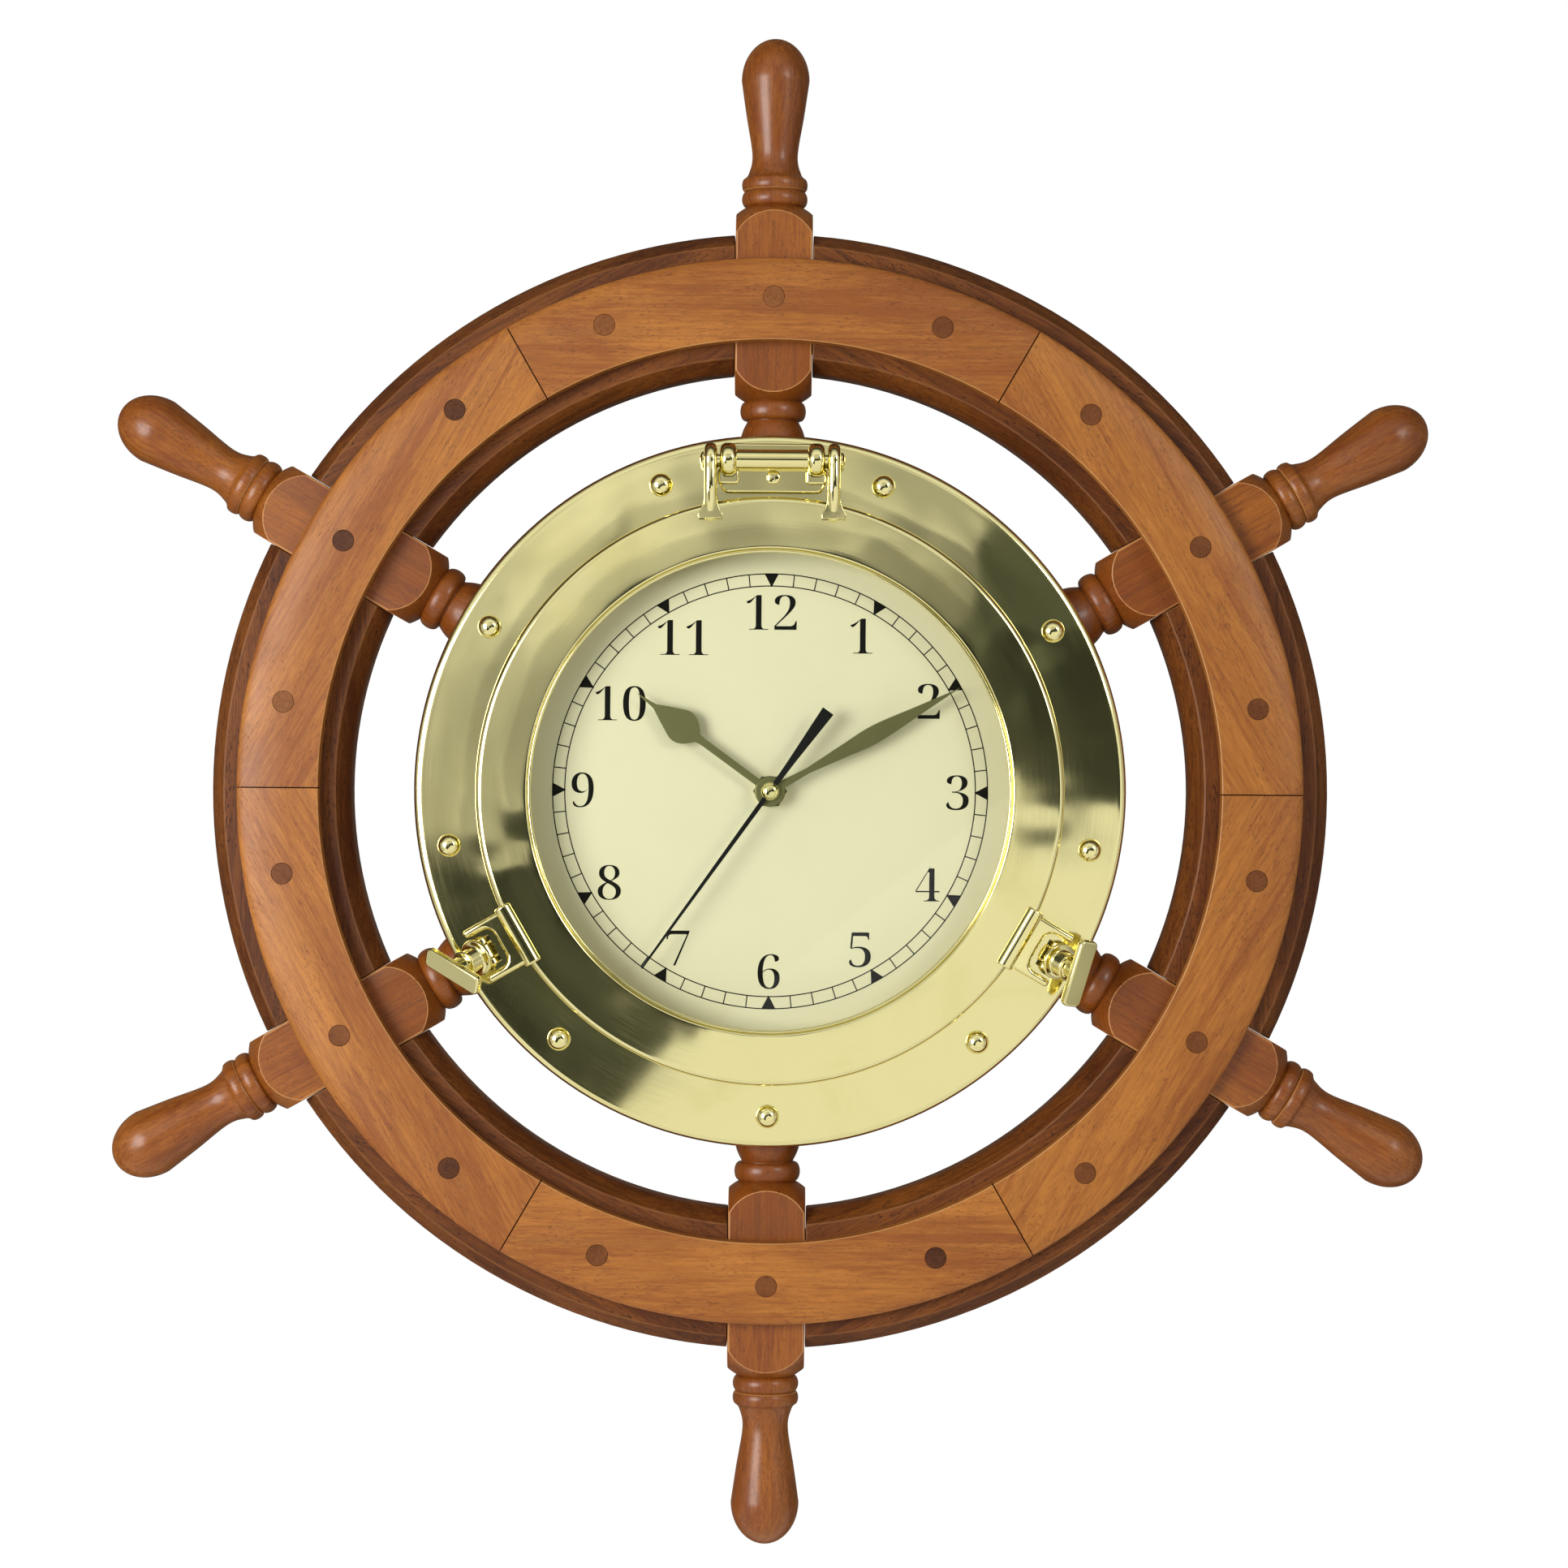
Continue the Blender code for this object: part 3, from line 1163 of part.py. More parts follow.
def build_hands():
    """Hour, minute and second hands."""

    def with_boss(radius, half_width, side):
        """An outline that leaves a round boss at half_width from the middle and follows the side outwards."""
        start = math.degrees(math.acos(half_width / radius))
        return arc((0, 0), radius, 180 - start, 360 + start, 10) + mirrored(side)

    neck = 1.5 * MM
    half = HOUR_BULB_WIDTH / 2
    side = [(neck, HOUR_BULB_REACH - 1.5 * half)] + smooth(
        [
            (neck + 0.4 * MM, HOUR_BULB_REACH - 1.2 * half),
            (0.86 * half, HOUR_BULB_REACH - 0.62 * half),
            (half, HOUR_BULB_REACH),
            (0.62 * half, HOUR_BULB_REACH + 0.9 * half),
            (1.0 * MM, HOUR_BULB_REACH + 1.9 * half),
        ],
        3,
    )
    side += [(0, HOUR_HAND_LENGTH)]
    hour = [with_boss(HOUR_BOSS_RADIUS, neck, side), circle((0, 0), PIPE_RADIUS + GAP, 16)]

    stem = 1.6 * MM
    leaf = MINUTE_LEAF_WIDTH / 2
    side = smooth(
        [
            (1.1 * MM, 0.2 * MINUTE_HAND_LENGTH),
            (0.75 * leaf, 0.4 * MINUTE_HAND_LENGTH),
            (leaf, 0.56 * MINUTE_HAND_LENGTH),
            (0.5 * leaf, 0.78 * MINUTE_HAND_LENGTH),
        ],
        3,
    )
    side += [(0, MINUTE_HAND_LENGTH)]
    minute = [with_boss(MINUTE_BOSS_RADIUS, stem, side), circle((0, 0), ARBOR_RADIUS + GAP, 14)]

    for name, outlines, base in (
        ("hour", hour, HOUR_HAND_BACK),
        ("minute", minute, MINUTE_HAND_BACK),
    ):
        plate(
            f"{name}_hand",
            outlines,
            HAND_THICKNESS,
            base,
            HAND_BRASS,
            rotation=clock_turn(HAND_ANGLES[name]),
        )

    cap = SECOND_CAP_RADIUS
    needle = 0.5 * MM
    tail = SECOND_TAIL_WIDTH / 2
    rise = math.sqrt(cap**2 - (2 * needle) ** 2)
    right = [(2 * needle, rise), (needle, SECOND_HAND_LENGTH)]
    down = [
        (tail, -SECOND_TAIL_LENGTH),
        (0.55 * tail, -0.4 * SECOND_TAIL_LENGTH),
        (2 * needle, -rise),
    ]
    outline = down + right + [(-x, y) for x, y in reversed(down + right)]
    turn = clock_turn(HAND_ANGLES["second"])
    top = SECOND_HAND_BACK + HAND_THICKNESS + SECOND_CAP_HEIGHT
    end = CASE_COVER_BACK + CASE_COVER_THICKNESS + GAP
    second = turned(
        "second_hand",
        [
            (0, top),
            (0.7 * cap, top - 0.2 * SECOND_CAP_HEIGHT),
            (cap, SECOND_HAND_BACK + HAND_THICKNESS),
            (cap, SECOND_HAND_BACK),
            (SPINDLE_RADIUS, SECOND_HAND_BACK),
            (SPINDLE_RADIUS, end),
            (0, end),
        ],
        14,
        BLACK_METAL,
        rotation=turn,
    )
    blade = plate("second_blade", [outline], HAND_THICKNESS, SECOND_HAND_BACK, rotation=turn)
    combine(second, blade, "UNION")


build_wheel()
build_hub()
build_flange()
build_port()
build_swing_bolts()
build_movement()
build_hands()
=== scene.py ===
"""Looks of the ship's wheel clock: turned and jointed wood, polished brass, a printed dial and its hands.

Each piece is modelled on the clock's face, with X to the right, Y up the dial and Z away from the wall, in
millimetres. It is then stood up so that the dial faces -Y and 12 o'clock is +Z.
"""

from __future__ import annotations

import logging
import math
from collections.abc import Sequence
from dataclasses import dataclass
from enum import Enum

import bpy
import numpy as np
from mathutils import Matrix, Vector

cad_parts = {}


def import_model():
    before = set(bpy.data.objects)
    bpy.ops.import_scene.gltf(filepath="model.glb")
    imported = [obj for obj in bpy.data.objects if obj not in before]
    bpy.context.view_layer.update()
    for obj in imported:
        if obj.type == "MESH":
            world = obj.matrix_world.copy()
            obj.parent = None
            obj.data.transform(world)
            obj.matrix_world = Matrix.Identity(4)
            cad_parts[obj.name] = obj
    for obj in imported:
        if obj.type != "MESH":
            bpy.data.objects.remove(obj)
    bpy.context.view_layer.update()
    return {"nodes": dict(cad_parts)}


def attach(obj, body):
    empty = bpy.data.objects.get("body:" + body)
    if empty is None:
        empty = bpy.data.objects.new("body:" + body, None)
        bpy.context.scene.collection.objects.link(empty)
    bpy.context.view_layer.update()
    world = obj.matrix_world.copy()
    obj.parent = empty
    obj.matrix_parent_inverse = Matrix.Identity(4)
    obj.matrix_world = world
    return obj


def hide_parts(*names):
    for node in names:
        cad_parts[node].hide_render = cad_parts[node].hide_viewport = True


LOG = logging.getLogger("ships_wheel_clock")
MM = 0.001

# FACE stands a piece up from the bench, ON_EDGE turns an outline so that its X runs up the dial and its Y
# away from the wall, and SIDEWAYS lays a rod across the clock.
FACE = Matrix.Rotation(math.pi / 2, 4, "X")
ON_EDGE = Matrix(((0, 0, 1, 0), (1, 0, 0, 0), (0, 1, 0, 0), (0, 0, 0, 1)))
SIDEWAYS = Matrix.Rotation(math.pi / 2, 4, "Y")

# Places in millimetres that sub-assemblies share: how far the spokes' axes stand from the wall, the hinge
# pin's height up the dial and distance from the wall, and the radius of the swing bolts' pivots and their
# distance from the wall.
SPOKE_AXIS = 24.8
HINGE_AXIS = (132.3, 51.3)
BOLT_CIRCLE = 130.0
BOLT_HEIGHT = 48.2

Point = tuple[float, float]
Profile = list[Point]
Place = tuple[float, float, float]
Colour = tuple[float, float, float]
Piece = bpy.types.Object
Inputs = dict[int | str, object]


def shift(x: float, y: float, z: float) -> Matrix:
    """Returns a move in millimetres."""
    return Matrix.Translation(Vector((x, y, z)) * MM)


def clock_turn(degrees: float) -> Matrix:
    """Returns the turn that carries 12 o'clock to a clock angle."""
    return Matrix.Rotation(-math.radians(degrees), 4, "Z")


def arc(centre: Point, across: float, along: float, start: float, end: float, count: int) -> Profile:
    """Draws an oval arc.

    Args:
        centre: Middle of the oval.
        across: Half width.
        along: Half height.
        start: First angle in degrees, anticlockwise from the right.
        end: Last angle in degrees.
        count: Number of steps.

    Returns:
        The arc's points, one more than its steps.
    """
    angles = [math.radians(start + (end - start) * step / count) for step in range(count + 1)]
    return [(centre[0] + across * math.cos(a), centre[1] + along * math.sin(a)) for a in angles]


def arc_through(first: Point, middle: Point, last: Point, count: int) -> Profile:
    """Draws a circular arc through three points.

    Args:
        first: Start of the arc.
        middle: A point on the way.
        last: End of the arc.
        count: Number of steps.

    Returns:
        The arc's points.
    """
    (ax, ay), (bx, by), (cx, cy) = first, middle, last
    area = 2 * (ax * (by - cy) + bx * (cy - ay) + cx * (ay - by))
    a2, b2, c2 = ax * ax + ay * ay, bx * bx + by * by, cx * cx + cy * cy
    x = (a2 * (by - cy) + b2 * (cy - ay) + c2 * (ay - by)) / area
    y = (a2 * (cx - bx) + b2 * (ax - cx) + c2 * (bx - ax)) / area
    start = math.atan2(ay - y, ax - x)
    turn = (math.atan2(cy - y, cx - x) - start + math.pi) % (2 * math.pi) - math.pi
    radius = math.hypot(ax - x, ay - y)
    return arc((x, y), radius, radius, math.degrees(start), math.degrees(start + turn), count)


def flowing(points: Profile, per_span: int) -> Profile:
    """Draws a smooth curve through points.

    Args:
        points: Points that the curve passes through.
        per_span: Steps between two neighbours.

    Returns:
        The curve's points.
    """
    path: Profile = []
    for i in range(len(points) - 1):
        a, b = np.array(points[max(i - 1, 0)]), np.array(points[i])
        c, d = np.array(points[i + 1]), np.array(points[min(i + 2, len(points) - 1)])
        bend, twist = 2 * a - 5 * b + 4 * c - d, 3 * b - a - 3 * c + d
        for step in range(per_span):
            t = step / per_span
            x, y = (2 * b + (c - a) * t + bend * t**2 + twist * t**3) / 2
            path.append((float(x), float(y)))
    return [*path, points[-1]]


def rounded(
    width: float, height: float, corner: float, centre: Point = (0, 0), count: int = 6
) -> Profile:
    """Draws a rectangle with round corners.

    Args:
        width: Size across.
        height: Size up.
        corner: Radius of its corners.
        centre: Middle of the rectangle.
        count: Steps in a corner.

    Returns:
        The closed outline's points.
    """
    path: Profile = []
    for quarter, (sx, sy) in enumerate(((1, 1), (-1, 1), (-1, -1), (1, -1))):
        middle = (centre[0] + sx * (width / 2 - corner), centre[1] + sy * (height / 2 - corner))
        path += arc(middle, corner, corner, 90 * quarter, 90 * quarter + 90, count)
    return path


def section(inner: float, outer: float, low: float, high: float) -> Profile:
    """Returns the (radius, height) profile of a plain ring, or of a disc if inner is 0."""
    return [(inner, high), (outer, high), (outer, low), (inner, low)]


def mirrored(side: Profile) -> Profile:
    """Returns a closed outline from its right side, which runs from one end to the other."""
    return [*side, *[(-x, y) for x, y in reversed(side)]]


class Bench:
    """The modelling moves that shape the pieces."""

    @staticmethod
    def clear() -> None:
        """Leaves nothing selected, in object mode."""
        if bpy.context.mode != "OBJECT":
            bpy.ops.object.mode_set(mode="OBJECT")
        bpy.ops.object.select_all(action="DESELECT")

    @classmethod
    def pick(cls, *pieces: Piece) -> None:
        """Selects pieces.

        Args:
            *pieces: Pieces to select; the last one is made active.
        """
        cls.clear()
        for piece in pieces:
            piece.select_set(True)
        bpy.context.view_layer.objects.active = pieces[-1]

    @classmethod
    def edit(cls, piece: Piece) -> None:
        """Opens a piece in edit mode with all of it selected.

        Args:
            piece: Piece to open.
        """
        cls.pick(piece)
        bpy.ops.object.mode_set(mode="EDIT")
        bpy.ops.mesh.select_all(action="SELECT")

    @classmethod
    def draw(cls, name: str, points: Sequence[Sequence[float]], closed: bool = False) -> Piece:
        """Draws a line point by point and leaves it selected in edit mode.

        Args:
            name: Name of the new piece.
            points: Points in millimetres.
            closed: Whether the line closes into a flat face.

        Returns:
            The piece.
        """
        cls.clear()
        bpy.ops.mesh.primitive_plane_add(size=MM, location=Vector(points[0]) * MM)
        piece = bpy.context.active_object
        piece.name = name
        bpy.ops.object.transform_apply(location=True)
        cls.edit(piece)
        bpy.ops.mesh.merge(type="CENTER")
        for here, there in zip(points, points[1:]):
            step = (Vector(there) - Vector(here)) * MM
            bpy.ops.mesh.extrude_region_move(TRANSFORM_OT_translate={"value": step})
        bpy.ops.mesh.select_all(action="SELECT")
        if closed:
            bpy.ops.mesh.edge_face_add()
            bpy.ops.mesh.select_all(action="SELECT")
        return piece

    @classmethod
    def close(cls, piece: Piece, angle: float = 32.0) -> Piece:
        """Merges doubled points, turns the faces outwards and shades the rounds smooth.

        Args:
            piece: Piece to finish.
            angle: Edges sharper than this many degrees stay crisp.

        Returns:
            The same piece.
        """
        cls.edit(piece)
        bpy.ops.mesh.remove_doubles(threshold=0.000002)
        bpy.ops.mesh.normals_make_consistent(inside=False)
        bpy.ops.object.mode_set(mode="OBJECT")
        bpy.ops.object.shade_smooth_by_angle(angle=math.radians(angle))
        return piece

    @classmethod
    def lathe(cls, name: str, profile: Profile, steps: int, ring: bool = False) -> Piece:
        """Turns a profile of (radius, height) points round Z.

        Args:
            name: Name of the new piece.
            profile: Points in millimetres.
            steps: Facets in a full turn.
            ring: Whether the profile closes on itself, away from the axis.

        Returns:
            The turned piece.
        """
        piece = cls.draw(name, [(radius, 0, height) for radius, height in profile], ring)
        if ring:
            bpy.ops.mesh.delete(type="ONLY_FACE")
            bpy.ops.mesh.select_all(action="SELECT")
        bpy.ops.mesh.spin(steps=steps, angle=2 * math.pi, center=(0, 0, 0), axis=(0, 0, 1))
        return cls.close(piece)

    @classmethod
    def sweep(cls, name: str, profile: Profile, half: float, steps: int) -> Piece:
        """Carries a closed (radius, height) profile round Z, half degrees to each side of 12 o'clock.

        Args:
            name: Name of the new piece.
            profile: Points in millimetres.
            half: Half of the angle covered, in degrees.
            steps: Facets along it.

        Returns:
            The swept piece.
        """
        way = math.radians(-half)
        start = [(radius * math.sin(way), radius * math.cos(way), height) for radius, height in profile]
        piece = cls.draw(name, start, closed=True)
        bpy.ops.mesh.spin(steps=steps, angle=2 * math.radians(half), center=(0, 0, 0), axis=(0, 0, 1))
        return cls.close(piece)

    @classmethod
    def slab(
        cls, name: str, outline: Profile, low: float, high: float, matrix: Matrix | None = None
    ) -> Piece:
        """Extrudes a flat outline into a plate.

        Args:
            name: Name of the new piece.
            outline: Closed outline in millimetres.
            low: Height of its underside.
            high: Height of its top.
            matrix: Move made afterwards.

        Returns:
            The plate.
        """
        piece = cls.draw(name, [(x, y, low) for x, y in outline], closed=True)
        bpy.ops.mesh.extrude_region_move(TRANSFORM_OT_translate={"value": (0, 0, (high - low) * MM)})
        cls.close(piece)
        return cls.place(piece, matrix) if matrix else piece

    @classmethod
    def rod(cls, name: str, radius: float, length: float, matrix: Matrix, steps: int = 32) -> Piece:
        """Turns a plain rod along Z, centred before its matrix moves it.

        Args:
            name: Name of the new piece.
            radius: Radius in millimetres.
            length: Length in millimetres.
            matrix: Move made afterwards.
            steps: Facets round it.

        Returns:
            The rod.
        """
        half = length / 2
        return cls.place(cls.lathe(name, section(0, radius, -half, half), steps), matrix)

    @classmethod
    def modify(cls, piece: Piece, kind: str, **settings: object) -> Piece:
        """Adds a modifier and applies it.

        Args:
            piece: Piece to change.
            kind: Modifier type.
            **settings: Its settings.

        Returns:
            The same piece.
        """
        change = piece.modifiers.new(kind.lower(), kind)
        for key, value in settings.items():
            setattr(change, key, value)
        cls.pick(piece)
        bpy.ops.object.modifier_apply(modifier=change.name)
        return piece

    @classmethod
    def ease(
        cls,
        piece: Piece,
        width: float,
        segments: int = 2,
        angle: float = 32.0,
        worn: bool = False,
        clamp: bool = True,
    ) -> Piece:
        """Rounds the crisp edges of a piece.

        Args:
            piece: Piece to change.
            width: Size of the rounding in millimetres.
            segments: Facets in the rounding.
            angle: Edges sharper than this many degrees are rounded.
            worn: Whether the rounding takes the second material, a lighter finish of wear and painted
                highlight.
            clamp: Whether short edges may hold the rounding back.

        Returns:
            The same piece.
        """
        cls.modify(
            piece,
            "BEVEL",
            width=width * MM,
            segments=segments,
            limit_method="ANGLE",
            angle_limit=math.radians(angle),
            material=1 if worn else -1,
            use_clamp_overlap=clamp and not worn,
        )
        return cls.close(piece, angle)

    @classmethod
    def combine(cls, piece: Piece, tool: Piece, operation: str) -> Piece:
        """Cuts a tool from a piece, joins it on or keeps what both fill; the tool is used up.

        Args:
            piece: Piece to change.
            tool: Second shape.
            operation: DIFFERENCE, UNION or INTERSECT.

        Returns:
            The same piece.
        """
        cls.modify(piece, "BOOLEAN", operation=operation, solver="EXACT", object=tool)
        bpy.data.objects.remove(tool)
        return cls.close(piece)

    @classmethod
    def trim(cls, piece: Piece, point: Vector, normal: Vector) -> Piece:
        """Saws off what lies past a plane and closes the cut.

        Args:
            piece: Piece to saw.
            point: A point of the plane, in millimetres.
            normal: Direction of what is taken away.

        Returns:
            The same piece.
        """
        cls.edit(piece)
        bpy.ops.mesh.bisect(plane_co=point * MM, plane_no=normal, use_fill=True, clear_outer=True)
        return cls.close(piece)

    @classmethod
    def join(cls, name: str, pieces: Sequence[Piece]) -> Piece:
        """Makes one piece of several.

        Args:
            name: Name of the result.
            pieces: Pieces that are used up.

        Returns:
            The joined piece.
        """
        cls.pick(*pieces)
        bpy.ops.object.join()
        joined = bpy.context.active_object
        joined.name = name
        return joined

    @classmethod
    def place(cls, piece: Piece, matrix: Matrix) -> Piece:
        """Moves a piece and leaves the move in its mesh.

        Args:
            piece: Piece to move.
            matrix: The move.

        Returns:
            The same piece.
        """
        cls.pick(piece)
        piece.matrix_world = matrix
        bpy.ops.object.transform_apply(location=True, rotation=True, scale=True)
        return piece

    @classmethod
    def copy(cls, piece: Piece, name: str) -> Piece:
        """Copies a piece.

        Args:
            piece: Piece to copy.
            name: Name of the copy.

        Returns:
            The copy, with a mesh of its own.
        """
        made = piece.copy()
        made.data = piece.data.copy()
        made.name = name
        bpy.context.scene.collection.objects.link(made)
        return made

    @staticmethod
    def grain(piece: Piece, order: tuple[int, int, int], offset: Sequence[float]) -> Piece:
        """Stores where each point lies in its plank, so that the grain follows the piece.

        Args:
            piece: Wooden piece, before it is placed.
            order: Which of its axes run along, across and through the plank.
            offset: Where in the tree the plank was cut, in metres.

        Returns:
            The same piece.
        """
        mesh = piece.data
        points = np.empty(len(mesh.vertices) * 3, np.float32)
        mesh.vertices.foreach_get("co", points)
        plank = points.reshape(-1, 3)[:, list(order)] + np.array(offset, np.float32)
        layer = mesh.attributes.get("grain") or mesh.attributes.new("grain", "FLOAT_VECTOR", "POINT")
        layer.data.foreach_set("vector", np.ascontiguousarray(plank, np.float32).ravel())
        return piece


class Signal:
    """A socket of a material that takes part in Python arithmetic."""

    def __init__(self, paint: Paint, socket: bpy.types.NodeSocket) -> None:
        """Wraps an output socket."""
        self.paint = paint
        self.socket = socket

    def math(self, operation: str, first: Signal | float, second: Signal | float | None = None) -> Signal:
        """Adds a Math node.

        Args:
            operation: What it works out.
            first: First value.
            second: Second value, if it takes one.

        Returns:
            The result.
        """
        node = self.paint.node("ShaderNodeMath", {"operation": operation}, {0: first, 1: second})
        return Signal(self.paint, node.outputs[0])

    def __add__(self, other: Signal | float) -> Signal:
        """Adds."""
        return self.math("ADD", self, other)

    __radd__ = __add__

    def __sub__(self, other: Signal | float) -> Signal:
        """Subtracts."""
        return self.math("SUBTRACT", self, other)

    def __rsub__(self, other: float) -> Signal:
        """Subtracts from a number."""
        return self.math("SUBTRACT", other, self)

    def __mul__(self, other: Signal | float) -> Signal:
        """Multiplies."""
        return self.math("MULTIPLY", self, other)

    __rmul__ = __mul__

    def __pow__(self, other: float) -> Signal:
        """Raises to a power."""
        return self.math("POWER", self, other)

    def angle_to(self, other: Signal) -> Signal:
        """Returns the angle of the direction (other, self)."""
        return self.math("ARCTAN2", self, other)

    def most(self, other: Signal) -> Signal:
        """Returns the larger of two values."""
        return self.math("MAXIMUM", self, other)

    def eased(self, low: float, high: float) -> Signal:
        """Returns 0 below low, 1 above high and a smooth rise between them."""
        node = self.paint.node(
            "ShaderNodeMapRange",
            {"interpolation_type": "SMOOTHSTEP"},
            {"Value": self, "From Min": low, "From Max": high},
        )
        return Signal(self.paint, node.outputs[0])


class Paint:
    """A material, or the world, under construction."""

    def __init__(self, name: str, owner: bpy.types.World | None = None) -> None:
        """Starts an empty material, or empties the world that is given.

        Args:
            name: Name of the finish.
            owner: World to paint in place of a material.
        """
        self.owner = owner or bpy.data.materials.new(f"{name}_finish")
        self.owner.use_nodes = True
        self.tree = self.owner.node_tree
        self.tree.nodes.clear()

    def node(
        self, kind: str, settings: dict[str, object] | None = None, inputs: Inputs | None = None
    ) -> bpy.types.Node:
        """Adds a node.

        Args:
            kind: Node type.
            settings: Properties, set first.
            inputs: Values or links by socket.

        Returns:
            The node.
        """
        made = self.tree.nodes.new(kind)
        for key, value in (settings or {}).items():
            setattr(made, key, value)
        for key, value in (inputs or {}).items():
            if isinstance(value, Signal):
                self.tree.links.new(value.socket, made.inputs[key])
            elif value is not None:
                colour = self.is_colour(made.inputs[key], value)
                made.inputs[key].default_value = (*value, 1.0) if colour else value
        return made

    @staticmethod
    def is_colour(socket: bpy.types.NodeSocket, value: object) -> bool:
        """Tells whether a value of three numbers goes to a colour socket."""
        return socket.type == "RGBA" and len(value) == 3

    def read(self, node: bpy.types.Node, output: int | str = 0) -> Signal:
        """Returns one of a node's outputs."""
        return Signal(self, node.outputs[output])

    def plank(self) -> Signal:
        """Returns the place in the plank that a wooden piece carries."""
        return self.read(self.node("ShaderNodeAttribute", {"attribute_name": "grain"}), "Vector")

    def place(self) -> Signal:
        """Returns the place on the object."""
        return self.read(self.node("ShaderNodeTexCoord"), "Object")

    def round_axis(self) -> tuple[Signal, Signal]:
        """Measures round the clock's axis.

        Returns:
            The distance from the axis and the angle round it.
        """
        parts = self.node("ShaderNodeSeparateXYZ", None, {0: self.place()})
        x, z = self.read(parts, 0), self.read(parts, 2)
        return (x * x + z * z) ** 0.5, z.angle_to(x)

    def vector(self, x: Signal | float, y: Signal | float, z: Signal | float) -> Signal:
        """Returns a vector of three values."""
        return self.read(self.node("ShaderNodeCombineXYZ", None, {0: x, 1: y, 2: z}))

    def noise(
        self, at: Signal, stretch: Sequence[float], detail: float = 2.0, distortion: float = 0.0
    ) -> Signal:
        """Adds noise.

        Args:
            at: Where it is read.
            stretch: How often it repeats per metre, each way.
            detail: Finer layers.
            distortion: How far it swirls.

        Returns:
            A value about 0.5.
        """
        scaled = self.node("ShaderNodeVectorMath", {"operation": "MULTIPLY"}, {0: at, 1: tuple(stretch)})
        inputs = {"Vector": self.read(scaled), "Scale": 1.0, "Detail": detail, "Distortion": distortion}
        return self.read(self.node("ShaderNodeTexNoise", None, inputs))

    def mix(self, share: Signal | float, first: Signal | Colour, second: Signal | Colour) -> Signal:
        """Returns the first colour where share is 0 and the second where it is 1."""
        node = self.node("ShaderNodeMix", {"data_type": "RGBA"}, {0: share, 6: first, 7: second})
        return self.read(node, 2)

    def bump(
        self, height: Signal, depth: float, strength: float = 1.0, under: Signal | None = None
    ) -> Signal:
        """Returns the normal of a surface with a relief this many metres deep, on top of another normal."""
        inputs = {"Height": height, "Distance": depth, "Strength": strength, "Normal": under}
        return self.read(self.node("ShaderNodeBump", None, inputs))

    def finish(self, inputs: Inputs) -> bpy.types.Material:
        """Ends the material in a Principled shader with these sockets."""
        shader = self.node("ShaderNodeBsdfPrincipled", None, inputs)
        return self.output(self.read(shader))

    def blend(self, share: Signal, first: bpy.types.Node, second: bpy.types.Node) -> Signal:
        """Returns the first shader where share is 0 and the second where it is 1."""
        inputs = {0: share, 1: self.read(first), 2: self.read(second)}
        return self.read(self.node("ShaderNodeMixShader", None, inputs))

    def output(self, surface: Signal) -> bpy.types.Material | bpy.types.World:
        """Ends the material or the world in any shader.

        Args:
            surface: Output of the shader.

        Returns:
            The material or the world.
        """
        kind = "World" if isinstance(self.owner, bpy.types.World) else "Material"
        self.node(f"ShaderNodeOutput{kind}", None, {"Surface": surface})
        return self.owner


